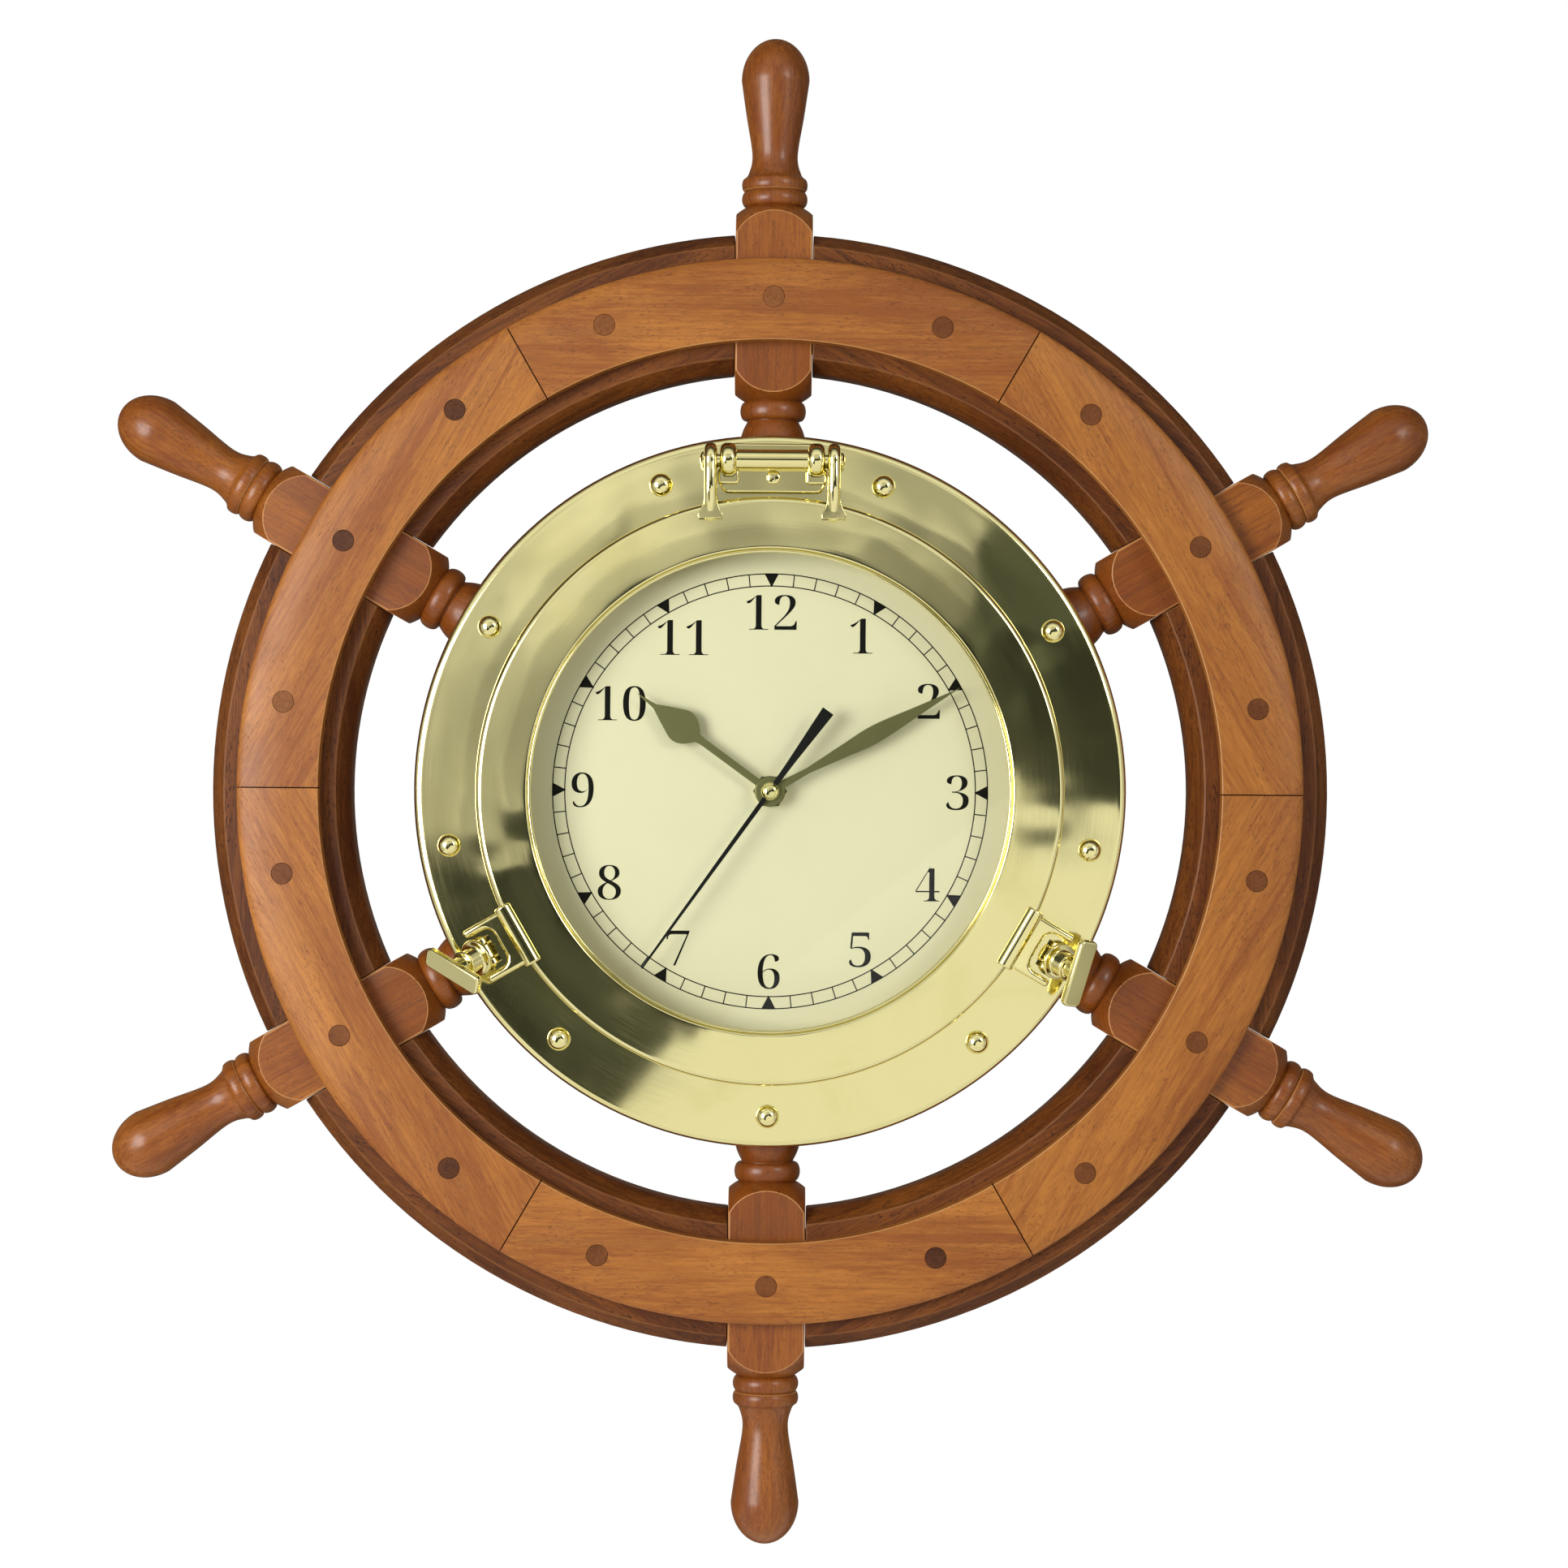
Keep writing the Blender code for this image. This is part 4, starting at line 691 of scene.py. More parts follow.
@dataclass(frozen=True)
class Wood:
    """Stained and varnished wood.

    Attributes:
        name: Name of the finish.
        light: Pale tone of the wood.
        dark: Deep tone of the wood.
        fleck: Colour of its pores, flecks and growth lines.
        flecks: How strongly the flecks show.
        streaks: How strongly the growth lines show.
        roughness: Mean roughness of the varnish.
        coat: Weight of a second, clear coat.
        gloss: Specular level of the varnish.
        shaded: How far a painted shade darkens the wood towards the clock's axis.
        coat_roughness: Roughness of the clear coat.
        pore_depth: Depth of the pores in metres.
        pore_strength: How strongly the pores catch the light.
    """

    name: str
    light: Colour
    dark: Colour
    fleck: Colour
    flecks: float = 0.6
    streaks: float = 0.3
    roughness: float = 0.42
    coat: float = 0.0
    gloss: float = 0.32
    shaded: float = 0.0
    coat_roughness: float = 0.2
    pore_depth: float = 0.00012
    pore_strength: float = 0.4

    def make(self) -> bpy.types.Material:
        """Mixes drifts of tone, growth lines, short flecks and pores under varnish.

        Returns:
            The material.
        """
        paint = Paint(self.name)
        plank = paint.plank()
        drift = paint.noise(plank, (9, 42, 42), detail=3, distortion=0.7)
        lines = paint.noise(plank, (7, 310, 310), detail=3, distortion=0.8)
        fibre = paint.noise(plank, (120, 900, 900), detail=3, distortion=0.3)
        hairs = paint.noise(plank, (26, 1150, 1150), detail=2)
        short = paint.noise(plank, (430, 1900, 1900), detail=1)
        long = paint.noise(plank, (90, 2900, 2900), detail=2)
        blotch = paint.noise(plank, (50, 110, 110), detail=2, distortion=0.4)
        tone = (drift * 0.42 + lines * 0.36 + fibre * 0.22).eased(0.37, 0.63)
        # Painted shade: the colour darkens towards the clock's axis, in place of the shadow round the hub.
        inwards = 1.0 - paint.round_axis()[0].eased(0.165, 0.225)
        colour = paint.mix(tone, self.dark, self.light)
        colour = paint.mix(inwards * self.shaded, colour, self.dark)
        colour = paint.mix(lines.eased(0.52, 0.68) * self.streaks, colour, self.fleck)
        colour = paint.mix(hairs.eased(0.54, 0.72) * (0.7 * self.streaks), colour, self.fleck)
        marks = short.eased(0.58, 0.68) * (0.3 + 0.7 * blotch.eased(0.38, 0.62)) * self.flecks
        colour = paint.mix(marks, colour, self.fleck)
        colour = paint.mix(long.eased(0.54, 0.74) * (0.55 * self.flecks), colour, self.fleck)
        sheen = self.roughness + 0.16 * (blotch - 0.5) + 0.12 * marks
        relief = short * -0.6 + long * -0.4 + lines * 0.3
        return paint.finish(
            {
                "Base Color": colour,
                "Roughness": sheen,
                "Specular IOR Level": self.gloss,
                "Coat Weight": self.coat,
                "Coat Roughness": self.coat_roughness,
                "Normal": paint.bump(relief, self.pore_depth, self.pore_strength),
            }
        )


@dataclass(frozen=True)
class Brass:
    """Polished and lacquered brass, with lathe marks round the clock's axis on turned pieces.

    Attributes:
        name: Name of the finish.
        colour: Colour of the bright metal.
        tarnish: Colour where it has dulled.
        roughness: Least roughness of the polish.
        turned: Whether it has lathe marks.
        swell_depth: Depth of the slow waves that the polishing left, in metres.
        ring_depth: Depth of the lathe marks in metres.
        scratch_depth: Depth of the scratches on what isn't turned, in metres.
        scratch_strength: How strongly marks and scratches catch the light.
    """

    name: str
    colour: Colour
    tarnish: Colour
    roughness: float = 0.1
    turned: bool = False
    swell_depth: float = 0.0009
    ring_depth: float = 0.000012
    scratch_depth: float = 0.00002
    scratch_strength: float = 0.3

    def make(self) -> bpy.types.Material:
        """Mixes smears of tarnish, fine scratches and, when turned, polishing rings.

        Returns:
            The material.
        """
        paint = Paint(self.name)
        place = paint.place()
        cloud = paint.noise(place, (26, 26, 26), detail=4, distortion=0.6)
        smear = paint.noise(place, (160, 160, 160), detail=3, distortion=0.3)
        swell = paint.bump(paint.noise(place, (21, 21, 21), detail=1, distortion=0.4), self.swell_depth)
        if self.turned:
            radius, angle = paint.round_axis()
            fine = paint.noise(paint.vector(radius * 5200.0, angle * 5.0, 0.0), (1, 1, 1), detail=2)
            broad = paint.noise(paint.vector(radius * 700.0, angle * 1.6, 0.0), (1, 1, 1), detail=2)
            relief = fine * 0.5 + broad
            depth = self.ring_depth
        else:
            fine = paint.noise(place, (900, 2600, 900), detail=2)
            relief = smear + fine * 0.4
            depth = self.scratch_depth
        dull = cloud.eased(0.45, 0.75)
        sheen = self.roughness + 0.03 * dull + 0.05 * fine.eased(0.45, 0.8) + 0.02 * smear
        colour = paint.mix(dull * 0.55, self.colour, self.tarnish)
        return paint.finish(
            {
                "Base Color": colour,
                "Metallic": 1.0,
                "Roughness": sheen,
                "Normal": paint.bump(relief, depth, self.scratch_strength, swell),
            }
        )


@dataclass(frozen=True)
class Enamel:
    """A plain painted, printed, moulded or plated surface.

    Attributes:
        name: Name of the finish.
        colour: Its colour.
        shade: The colour that it drifts towards.
        roughness: Its mean roughness.
        metallic: How far it is metal.
        grit: Grains of its tooth per metre.
        depth: Depth of the tooth in metres.
        gloss: Its specular level.
        tooth_strength: How strongly the tooth catches the light.
    """

    name: str
    colour: Colour
    shade: Colour
    roughness: float = 0.5
    metallic: float = 0.0
    grit: float = 900.0
    depth: float = 0.00002
    gloss: float = 0.5
    tooth_strength: float = 0.25

    def make(self) -> bpy.types.Material:
        """Mixes a faint drift of tone over a fine tooth.

        Returns:
            The material.
        """
        paint = Paint(self.name)
        place = paint.place()
        drift = paint.noise(place, (18, 18, 18), detail=3, distortion=0.4)
        tooth = paint.noise(place, (self.grit,) * 3, detail=2)
        return paint.finish(
            {
                "Base Color": paint.mix(drift.eased(0.3, 0.75), self.colour, self.shade),
                "Metallic": self.metallic,
                "Roughness": self.roughness + 0.12 * (tooth - 0.5),
                "Specular IOR Level": self.gloss,
                "Normal": paint.bump(tooth, self.depth, self.tooth_strength),
            }
        )


@dataclass(frozen=True)
class WindowGlass:
    """Clear flat glass.

    Attributes:
        name: Name of the finish.
        tint: Colour of what is seen through it.
        shine: Share of light that it mirrors, seen straight on.
        grazing: Share that is added at grazing sight.
        falloff: Power at which that share grows.
        smudged: Share that smudges add.
        roughness: Roughness of its mirror.
    """

    name: str
    tint: Colour
    shine: float = 0.011
    grazing: float = 0.9
    falloff: float = 5.0
    smudged: float = 0.003
    roughness: float = 0.02

    def make(self) -> bpy.types.Material:
        """Mixes see-through glass with a shine that grows towards grazing sight.

        Returns:
            The material.
        """
        paint = Paint(self.name)
        facing = paint.read(paint.node("ShaderNodeLayerWeight", None, {"Blend": 0.5}), "Facing")
        smudge = paint.noise(paint.place(), (30, 30, 30), detail=3, distortion=0.8)
        shine = self.shine + self.grazing * facing**self.falloff + self.smudged * smudge.eased(0.5, 0.8)
        clear = paint.node("ShaderNodeBsdfTransparent", None, {"Color": self.tint})
        mirror = {"Color": (1.0, 1.0, 1.0), "Roughness": self.roughness}
        gloss = paint.node("ShaderNodeBsdfAnisotropic", None, mirror)
        return paint.output(paint.blend(shine, clear, gloss))


class Finish(Enum):
    """The finishes of the clock."""

    FACING = Wood(
        "varnished_beech",
        light=(0.45, 0.166, 0.025),
        dark=(0.25, 0.072, 0.01),
        fleck=(0.11, 0.03, 0.006),
        flecks=0.55,
    )
    # Lighter finish of the facings' eased edges: rubbed wear and a painted highlight along the edges.
    FACING_EDGE = Wood(
        "rubbed_and_highlit_beech_edge",
        light=(0.5, 0.24, 0.07),
        dark=(0.4, 0.17, 0.045),
        fleck=(0.25, 0.1, 0.03),
        flecks=0.3,
        streaks=0.15,
    )
    FELLOE = Wood(
        "dark_felloe_wood",
        light=(0.2, 0.06, 0.009),
        dark=(0.08, 0.02, 0.004),
        fleck=(0.03, 0.008, 0.002),
        flecks=0.9,
        streaks=0.5,
        roughness=0.45,
        gloss=0.2,
    )
    # Lighter finish of the felloes' eased edges: rubbed wear and a painted highlight along the edges.
    FELLOE_EDGE = Wood(
        "rubbed_and_highlit_felloe_edge",
        light=(0.22, 0.08, 0.02),
        dark=(0.14, 0.046, 0.01),
        fleck=(0.07, 0.024, 0.008),
        flecks=0.4,
        streaks=0.4,
        roughness=0.45,
        gloss=0.2,
    )
    # The spoke wood, also used on the hub, carries a painted shade that darkens it towards the clock's
    # axis.
    SPOKE = Wood(
        "turned_spoke_wood",
        light=(0.34, 0.106, 0.011),
        dark=(0.185, 0.044, 0.004),
        fleck=(0.085, 0.019, 0.004),
        streaks=0.4,
        roughness=0.36,
        coat=0.2,
        gloss=0.3,
        shaded=0.6,
    )
    # Lighter finish of the spokes' and hub's eased edges: rubbed wear and a painted highlight along the
    # edges.
    SPOKE_EDGE = Wood(
        "rubbed_and_highlit_spoke_edge",
        light=(0.5, 0.23, 0.07),
        dark=(0.4, 0.16, 0.045),
        fleck=(0.25, 0.09, 0.025),
        flecks=0.25,
        streaks=0.15,
    )
    DOWEL_DARK = Wood(
        "dark_dowel",
        light=(0.11, 0.036, 0.013),
        dark=(0.055, 0.018, 0.007),
        fleck=(0.02, 0.007, 0.004),
        flecks=0.7,
        gloss=0.12,
    )
    DOWEL_RED = Wood(
        "reddish_dowel",
        light=(0.2, 0.068, 0.02),
        dark=(0.12, 0.038, 0.011),
        fleck=(0.05, 0.016, 0.006),
        flecks=0.7,
        gloss=0.12,
    )
    DOWEL_PALE = Wood(
        "pale_dowel",
        light=(0.29, 0.108, 0.032),
        dark=(0.19, 0.064, 0.019),
        fleck=(0.08, 0.025, 0.009),
        flecks=0.8,
        streaks=0.4,
        gloss=0.12,
    )
    PLYWOOD = Wood(
        "back_plywood",
        light=(0.5, 0.33, 0.17),
        dark=(0.38, 0.23, 0.11),
        fleck=(0.24, 0.13, 0.06),
        flecks=0.5,
        roughness=0.6,
    )
    RING_BRASS = Brass("turned_brass", (0.79, 0.72, 0.345), (0.72, 0.64, 0.265), 0.06, turned=True)
    BRASS = Brass("polished_brass", (0.81, 0.73, 0.34), (0.72, 0.63, 0.25), 0.06)
    HAND_BRASS = Brass("hand_brass", (0.187, 0.182, 0.077), (0.137, 0.133, 0.055), 0.36)
    DIAL = Enamel("cream_dial", (0.747, 0.7, 0.46), (0.725, 0.678, 0.44), 0.55)
    INK = Enamel("dial_ink", (0.006, 0.0055, 0.004), (0.009, 0.008, 0.006), 0.55, gloss=0.06)
    LACQUER = Enamel("black_lacquer", (0.006, 0.006, 0.005), (0.01, 0.01, 0.009), 0.38, gloss=0.12)
    STEEL = Enamel(
        "zinc_plated_steel", (0.56, 0.57, 0.58), (0.42, 0.43, 0.45), 0.35, metallic=1.0, grit=1500.0
    )
    PLASTIC = Enamel(
        "black_plastic", (0.018, 0.018, 0.019), (0.026, 0.026, 0.027), 0.48, grit=1800.0, depth=0.00006
    )
    GEAR = Enamel("gear_plastic", (0.74, 0.73, 0.68), (0.68, 0.67, 0.61), 0.42, grit=1200.0)
    CELL = Enamel("battery_sleeve", (0.03, 0.05, 0.12), (0.02, 0.035, 0.09), 0.32, metallic=0.2)
    GLASS = WindowGlass("port_glass", (0.975, 0.985, 0.97))

    @property
    def material(self) -> bpy.types.Material:
        """Returns the finish's one material, made when first asked for."""
        return bpy.data.materials.get(f"{self.value.name}_finish") or self.value.make()


class DowelTone(Enum):
    """Tones of the dowels, by the letter that stands for each."""

    P = Finish.DOWEL_PALE
    R = Finish.DOWEL_RED
    D = Finish.DOWEL_DARK


@dataclass(frozen=True)
class BoltStand:
    """How a swing bolt stands on the flange.

    Attributes:
        label: Side that it is on.
        angle: Its clock angle in degrees.
        lean: Its lean from upright in degrees.
        bar_turn: Turn of its thumb bar in degrees.
    """

    label: str
    angle: float
    lean: float
    bar_turn: float


class Side(Enum):
    """The two swing bolts."""

    RIGHT = BoltStand("right", angle=120.0, lean=36.0, bar_turn=17.5)
    LEFT = BoltStand("left", angle=240.0, lean=44.0, bar_turn=40.0)


@dataclass
class Assembly:
    """Something that is built of pieces that ride on the clock's bodies.

    Attributes:
        body: Body that carries its pieces, where they don't name another.
    """

    body: str = "wheel"

    def dress(self, piece: Piece, *finishes: Finish) -> Piece:
        """Gives a piece its finishes.

        Args:
            piece: Piece to dress.
            *finishes: One finish per material slot.

        Returns:
            The same piece.
        """
        piece.data.materials.clear()
        for finish in finishes:
            piece.data.materials.append(finish.material)
        return piece

    def install(self, piece: Piece, slot: str, *nodes: str, body: str = "") -> Piece:
        """Puts a finished piece on its body.

        Args:
            piece: Piece in its place.
            slot: Material slot of the record; not used.
            *nodes: Frame nodes that it stands for.
            body: Body that carries it, if not the assembly's own.

        Returns:
            The same piece.
        """
        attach(piece, body or self.body)
        if nodes:
            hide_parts(*nodes)
        LOG.info("%s: %d faces", piece.name, len(piece.data.polygons))
        return piece

    def fit(
        self, piece: Piece, finish: Finish, matrix: Matrix, slot: str, *nodes: str, body: str = ""
    ) -> Piece:
        """Dresses a piece, sets it in its place and puts it on its body.

        Args:
            piece: Piece as it was modelled.
            finish: Its one finish.
            matrix: Move to its place.
            slot: Material slot of the record; not used.
            *nodes: Frame nodes that it stands for.
            body: Body that carries it, if not the assembly's own.

        Returns:
            The same piece.
        """
        self.dress(piece, finish)
        Bench.place(piece, matrix)
        return self.install(piece, slot, *nodes, body=body)

    def cut_cross(self, screw: Piece, blade: Profile, low: float, high: float, turn: float) -> Piece:
        """Cuts a cross slot into the head of a screw.

        Args:
            screw: Screw that stands on Z.
            blade: Outline of one of the two slots.
            low: Height where the cut starts.
            high: Height where it ends.
            turn: Angle of the first slot in radians.

        Returns:
            The same screw.
        """
        for angle in (turn, turn + math.pi / 2):
            slot = Bench.slab("driver_slot", blade, low, high, Matrix.Rotation(angle, 4, "Z"))
            Bench.combine(screw, slot, "DIFFERENCE")
        return screw


@dataclass
class WoodenWheel(Assembly):
    """Six turned spokes held by six felloes, which are faced front and back with dowelled segments.

    Places along a spoke are distances from the clock's axis.

    Attributes:
        side: Square stock of the spokes, and thickness of the felloes.
        stock: Start and end of the square bar, past both ends of a spoke.
        stock_corner: Rounding of the bar's long corners.
        tenon: Radius of a tenon, and where it ends.
        shoulder: Where a spoke's shoulder meets the hub.
        neck: Radius at the roots of the beads.
        bead: How far the two beads beside the block stand out.
        corner: Radius just past the block's corners, where the turning runs out.
        grip: Where a handle is thickest, and its radius there.
        tip: Where a handle ends.
        block: Start and end of the square block's edges in the lighter finish of wear and painted
            highlight.
        groove: Middle and half width of the groove by the handle, in the lighter finish of wear and painted
            highlight.
        corner_from: How far from both middle planes of a spoke its long corners start.
        spoke_wear: Width of a spoke's eased edges, in the lighter finish of wear and painted highlight.
        core: Inner and outer radius of the flat face of the felloes.
        mould: Width and fall of a felloe's moulded edge.
        slope: Middle of that edge: its distance past the flat face, and its height above the foot.
        glue: Gap between a felloe and a spoke.
        wear: Width of the eased edges of felloes and facings, in the lighter finish of wear and painted
            highlight.
        facing: Inner and outer radius of the facings.
        layers: Distances of a front facing's back and front from the wall.
        crown: Width and fall of a facing's rounded outer part.
        facing_joint: Half of the gap between two facings.
        dowel_circle: Radius of the circle of dowels.
        dowel_radius: Radius of a dowel.
        dowel_spots: Clock angles of a segment's dowels, from its middle.
        dowel_gap: Gap round a dowel, and the size of its chamfer.
        dowel_length: Length of a dowel.
        dowel_sunk: How far a dowel lies below the top of the facing.
        dowel_tilt: Tilt of a dowel's end, which follows the crown, in degrees.
        drill: Length of the drill that bores for a dowel.
        dowel_tones: Tones of the dowels, clockwise from the one at 12 o'clock.
        spoke_cut: Step through the tree from one spoke to the next, in metres.
        felloe_cut: The same for the felloes.
        facing_cut: The same for the facings.
        back_cut: Step from a front facing to the one behind it.
    """

    side: float = 31.0
    stock: tuple[float, float] = (100.0, 320.0)
    stock_corner: float = 0.9
    tenon: tuple[float, float] = (8.0, 117.0)
    shoulder: float = 134.3
    neck: float = 11.3
    bead: float = 2.0
    corner: float = 22.2
    grip: tuple[float, float] = (287.8, 13.75)
    tip: float = 304.8
    block: tuple[float, float] = (158.5, 235.5)
    groove: tuple[float, float] = (242.9, 0.4)
    corner_from: float = 14.2
    spoke_wear: float = 0.25
    core: tuple[float, float] = (174.6, 219.4)
    mould: tuple[float, float] = (5.4, 8.4)
    slope: tuple[float, float] = (2.5, 4.9)
    glue: float = 0.3
    wear: float = 0.45
    facing: tuple[float, float] = (180.5, 213.5)
    layers: tuple[float, float] = (40.6, 49.6)
    crown: tuple[float, float] = (21.0, 4.0)
    facing_joint: float = 0.25
    dowel_circle: float = 197.6
    dowel_radius: float = 4.25
    dowel_spots: tuple[float, float, float] = (-20.0, 0.0, 20.0)
    dowel_gap: float = 0.12
    dowel_length: float = 1.9
    dowel_sunk: float = 0.17
    dowel_tilt: float = -3.2
    drill: float = 5.0
    dowel_tones: str = "PRRRRRRRDRRDRRPDDP"
    spoke_cut: Place = (0.61, 0.07, 0.031)
    felloe_cut: Place = (0.53, 0.06, 0.043)
    facing_cut: Place = (0.37, 0.05, 0.037)
    back_cut: float = 0.19

    def build(self) -> None:
        """Builds and dresses every wooden piece of the wheel."""
        self.build_spokes()
        self.build_felloes()
        self.build_facings()

    def turning(self) -> Profile:
        """Draws a spoke for the lathe.

        Returns:
            Its outline as (radius, distance from the clock's axis).
        """
        (radius, end), neck, bead = self.tenon, self.neck, self.bead
        grip, thick = self.grip
        tenon = [(0, end), (radius, end), (radius, self.shoulder)]
        foot = [(14.2, self.shoulder), (13.7, 140.0), (12.3, 145.6), (10.6, 149.2), (10.3, 150.0)]
        handle = [(12.2, 248.0), (10.6, 250.2), (9.2, 257.7), (11.7, 273.6), (thick, grip)]
        return [
            *tenon,
            *flowing(foot, 4),
            *arc((neck, 153.8), bead, 3.8, -90, 90, 10),
            *arc_through((neck, 157.6), (15.5, 160.5), (self.corner, 171.3), 12),
            *arc_through((self.corner, 222.7), (15.5, 233.5), (neck, 236.4), 12),
            *arc((neck, 239.65), bead, 3.25, -90, 90, 10),
            *arc((12.2, 245.45), 1.1, 2.55, -90, 90, 8),
            *flowing(handle, 6),
            *arc((0, grip), thick, self.tip - grip, 0, 90, 14)[1:],
        ]

    def build_spokes(self) -> None:
        """Turns one square bar into a spoke and copies it round the clock."""
        first = Bench.lathe("spoke", self.turning(), 64)
        square = rounded(self.side, self.side, self.stock_corner, count=3)
        Bench.combine(first, Bench.slab("square_bar", square, *self.stock), "INTERSECT")
        self.dress(first, Finish.SPOKE, Finish.SPOKE_EDGE)
        # The eased edges take the lighter edge finish: rubbed wear and a painted highlight.
        Bench.ease(first, self.spoke_wear, segments=2, angle=24, worn=True)
        self.rub_corners(first)
        upright = Matrix.Rotation(-math.pi / 2, 4, "X")
        for number in range(6):
            hour = 2 * number or 12
            spoke = Bench.copy(first, f"turned_spoke_{hour}")
            Bench.grain(spoke, (2, 0, 1), [step * number for step in self.spoke_cut])
            Bench.place(spoke, FACE @ clock_turn(60 * number) @ shift(0, 0, SPOKE_AXIS) @ upright)
            self.install(spoke, "turned_spoke_wood", f"spoke_{hour}")
        bpy.data.objects.remove(first)

    def rub_corners(self, spoke: Piece) -> None:
        """Keeps the lighter finish of wear and painted highlight to the block's edges and long corners and
        the groove by the handle.

        Args:
            spoke: Spoke that stands on Z, with every eased edge in the lighter finish.
        """
        (start, end), (groove, half) = self.block, self.groove
        for face in spoke.data.polygons:
            right, up, along = (abs(part) for part in face.normal)
            x, y, z = (part / MM for part in face.center)
            slanted = along < 0.02 and min(right, up) > 0.2
            long_corner = slanted and min(abs(x), abs(y)) > self.corner_from
            on_block = start < z < end and (long_corner or face.material_index)
            face.material_index = 1 if on_block or abs(z - groove) < half else 0

    def build_felloes(self) -> None:
        """Sweeps one felloe, saws it to fit between two spokes and copies it round the clock."""
        (inner, outer), (wide, fall), (past, rise) = self.core, self.mould, self.slope
        top = self.side / 2
        low = top - fall
        middle = low + rise
        profile = [
            *arc_through((inner - wide, low), (inner - past, middle), (inner, top), 8),
            *arc_through((outer, top), (outer + past, middle), (outer + wide, low), 8),
            *arc_through((outer + wide, -low), (outer + past, -middle), (outer, -top), 8),
            *arc_through((inner, -top), (inner - past, -middle), (inner - wide, -low), 8),
        ]
        first = Bench.sweep("felloe", [(r, h + SPOKE_AXIS) for r, h in profile], 30, 30)
        self.saw_ends(first, top + self.glue)
        self.dress(first, Finish.FELLOE, Finish.FELLOE_EDGE)
        # The eased edges take the lighter edge finish: rubbed wear and a painted highlight.
        Bench.ease(first, self.wear, segments=2, angle=50, worn=True)
        for number in range(6):
            hour = 2 * number + 1
            felloe = Bench.copy(first, f"jointed_felloe_{hour}")
            Bench.grain(felloe, (0, 1, 2), [step * number for step in self.felloe_cut])
            Bench.place(felloe, FACE @ clock_turn(30 * hour))
            self.install(felloe, "dark_felloe_wood", f"felloe_{hour}")
        bpy.data.objects.remove(first)

    def saw_ends(self, piece: Piece, margin: float) -> None:
        """Saws both ends of a segment parallel to the radii at 30 degrees.

        Args:
            piece: Segment, with its middle at 12 o'clock.
            margin: How far inside those radii the saw runs.
        """
        for side in (1, -1):
            way = math.radians(30 * side)
            across = Vector((math.cos(way), -math.sin(way), 0)) * side
            Bench.trim(piece, across * -margin, across)

    def build_facings(self) -> None:
        """Builds the front segments with their dowels, and the plain back segments."""
        (inner, outer), (back, front), (wide, fall) = self.facing, self.layers, self.crown
        crown = arc((outer - wide, front - fall), wide, fall, 0, 90, 18)
        profile = [(inner, back), (outer, back), *crown, (inner, front)]
        facing = Bench.sweep("facing", profile, 31, 30)
        plain = Bench.sweep("back_segment", [(r, front - h) for r, h in profile], 31, 30)
        for segment in (facing, plain):
            self.dress(segment, Finish.FACING, Finish.FACING_EDGE)
            # The eased edges take the lighter edge finish: rubbed wear and a painted highlight.
            Bench.ease(segment, self.wear, segments=2, angle=50, worn=True)
            self.saw_ends(segment, self.facing_joint)
        self.drill_facing(facing)
        plug = self.turn_dowel()
        for number in range(6):
            hour = 2 * number or 12
            turn = FACE @ clock_turn(60 * number)
            along, across, through = (step * number for step in self.facing_cut)
            for layer, first, extra in (("front", facing, 0.0), ("back", plain, self.back_cut)):
                segment = Bench.copy(first, f"{layer}_segment_{hour}")
                Bench.grain(segment, (0, 1, 2), (along + extra, across, through))
                Bench.place(segment, turn)
                self.install(segment, "varnished_beech", f"{layer}_facing_{hour}")
            self.plug_facing(plug, number, hour)
        for spare in (facing, plain, plug):
            bpy.data.objects.remove(spare)

    def drill_facing(self, facing: Piece) -> None:
        """Bores a facing for its dowels.

        Args:
            facing: Front segment, with its middle at 12 o'clock.
        """
        lift = shift(0, self.dowel_circle, self.layers[1])
        drills = [
            Bench.rod(f"drill_{i}", self.dowel_radius + self.dowel_gap, self.drill, clock_turn(spot) @ lift)
            for i, spot in enumerate(self.dowel_spots)
        ]
        Bench.combine(facing, Bench.join("drills", drills), "DIFFERENCE")

    def turn_dowel(self) -> Piece:
        """Turns one dowel.

        Returns:
            The dowel, with its top at the origin.
        """
        edge, chamfer, foot = self.dowel_radius, self.dowel_gap, -self.dowel_length
        profile = [(0, 0), (edge - chamfer, 0), (edge, -chamfer), (edge, foot), (0, foot)]
        return Bench.lathe("dowel", profile, 28)

    def plug_facing(self, plug: Piece, number: int, hour: int) -> None:
        """Plugs one front segment with its dowels.

        Args:
            plug: Dowel to copy.
            number: Place of the segment, clockwise from 12 o'clock.
            hour: The hour that it is named for.
        """
        tilt = Matrix.Rotation(math.radians(self.dowel_tilt), 4, "X")
        seat = shift(0, self.dowel_circle, self.layers[1] - self.dowel_sunk) @ tilt
        for place, spot in enumerate(self.dowel_spots):
            dowel = Bench.copy(plug, f"dowel_{hour}_{place + 1}")
            Bench.grain(dowel, (2, 0, 1), (0.1 * number + 0.003 * spot, 0.02 * number, 0.011 * spot))
            tone = DowelTone[self.dowel_tones[3 * number + place - 1]]
            self.fit(dowel, tone.value, FACE @ clock_turn(60 * number + spot) @ seat, "dark_felloe_wood")


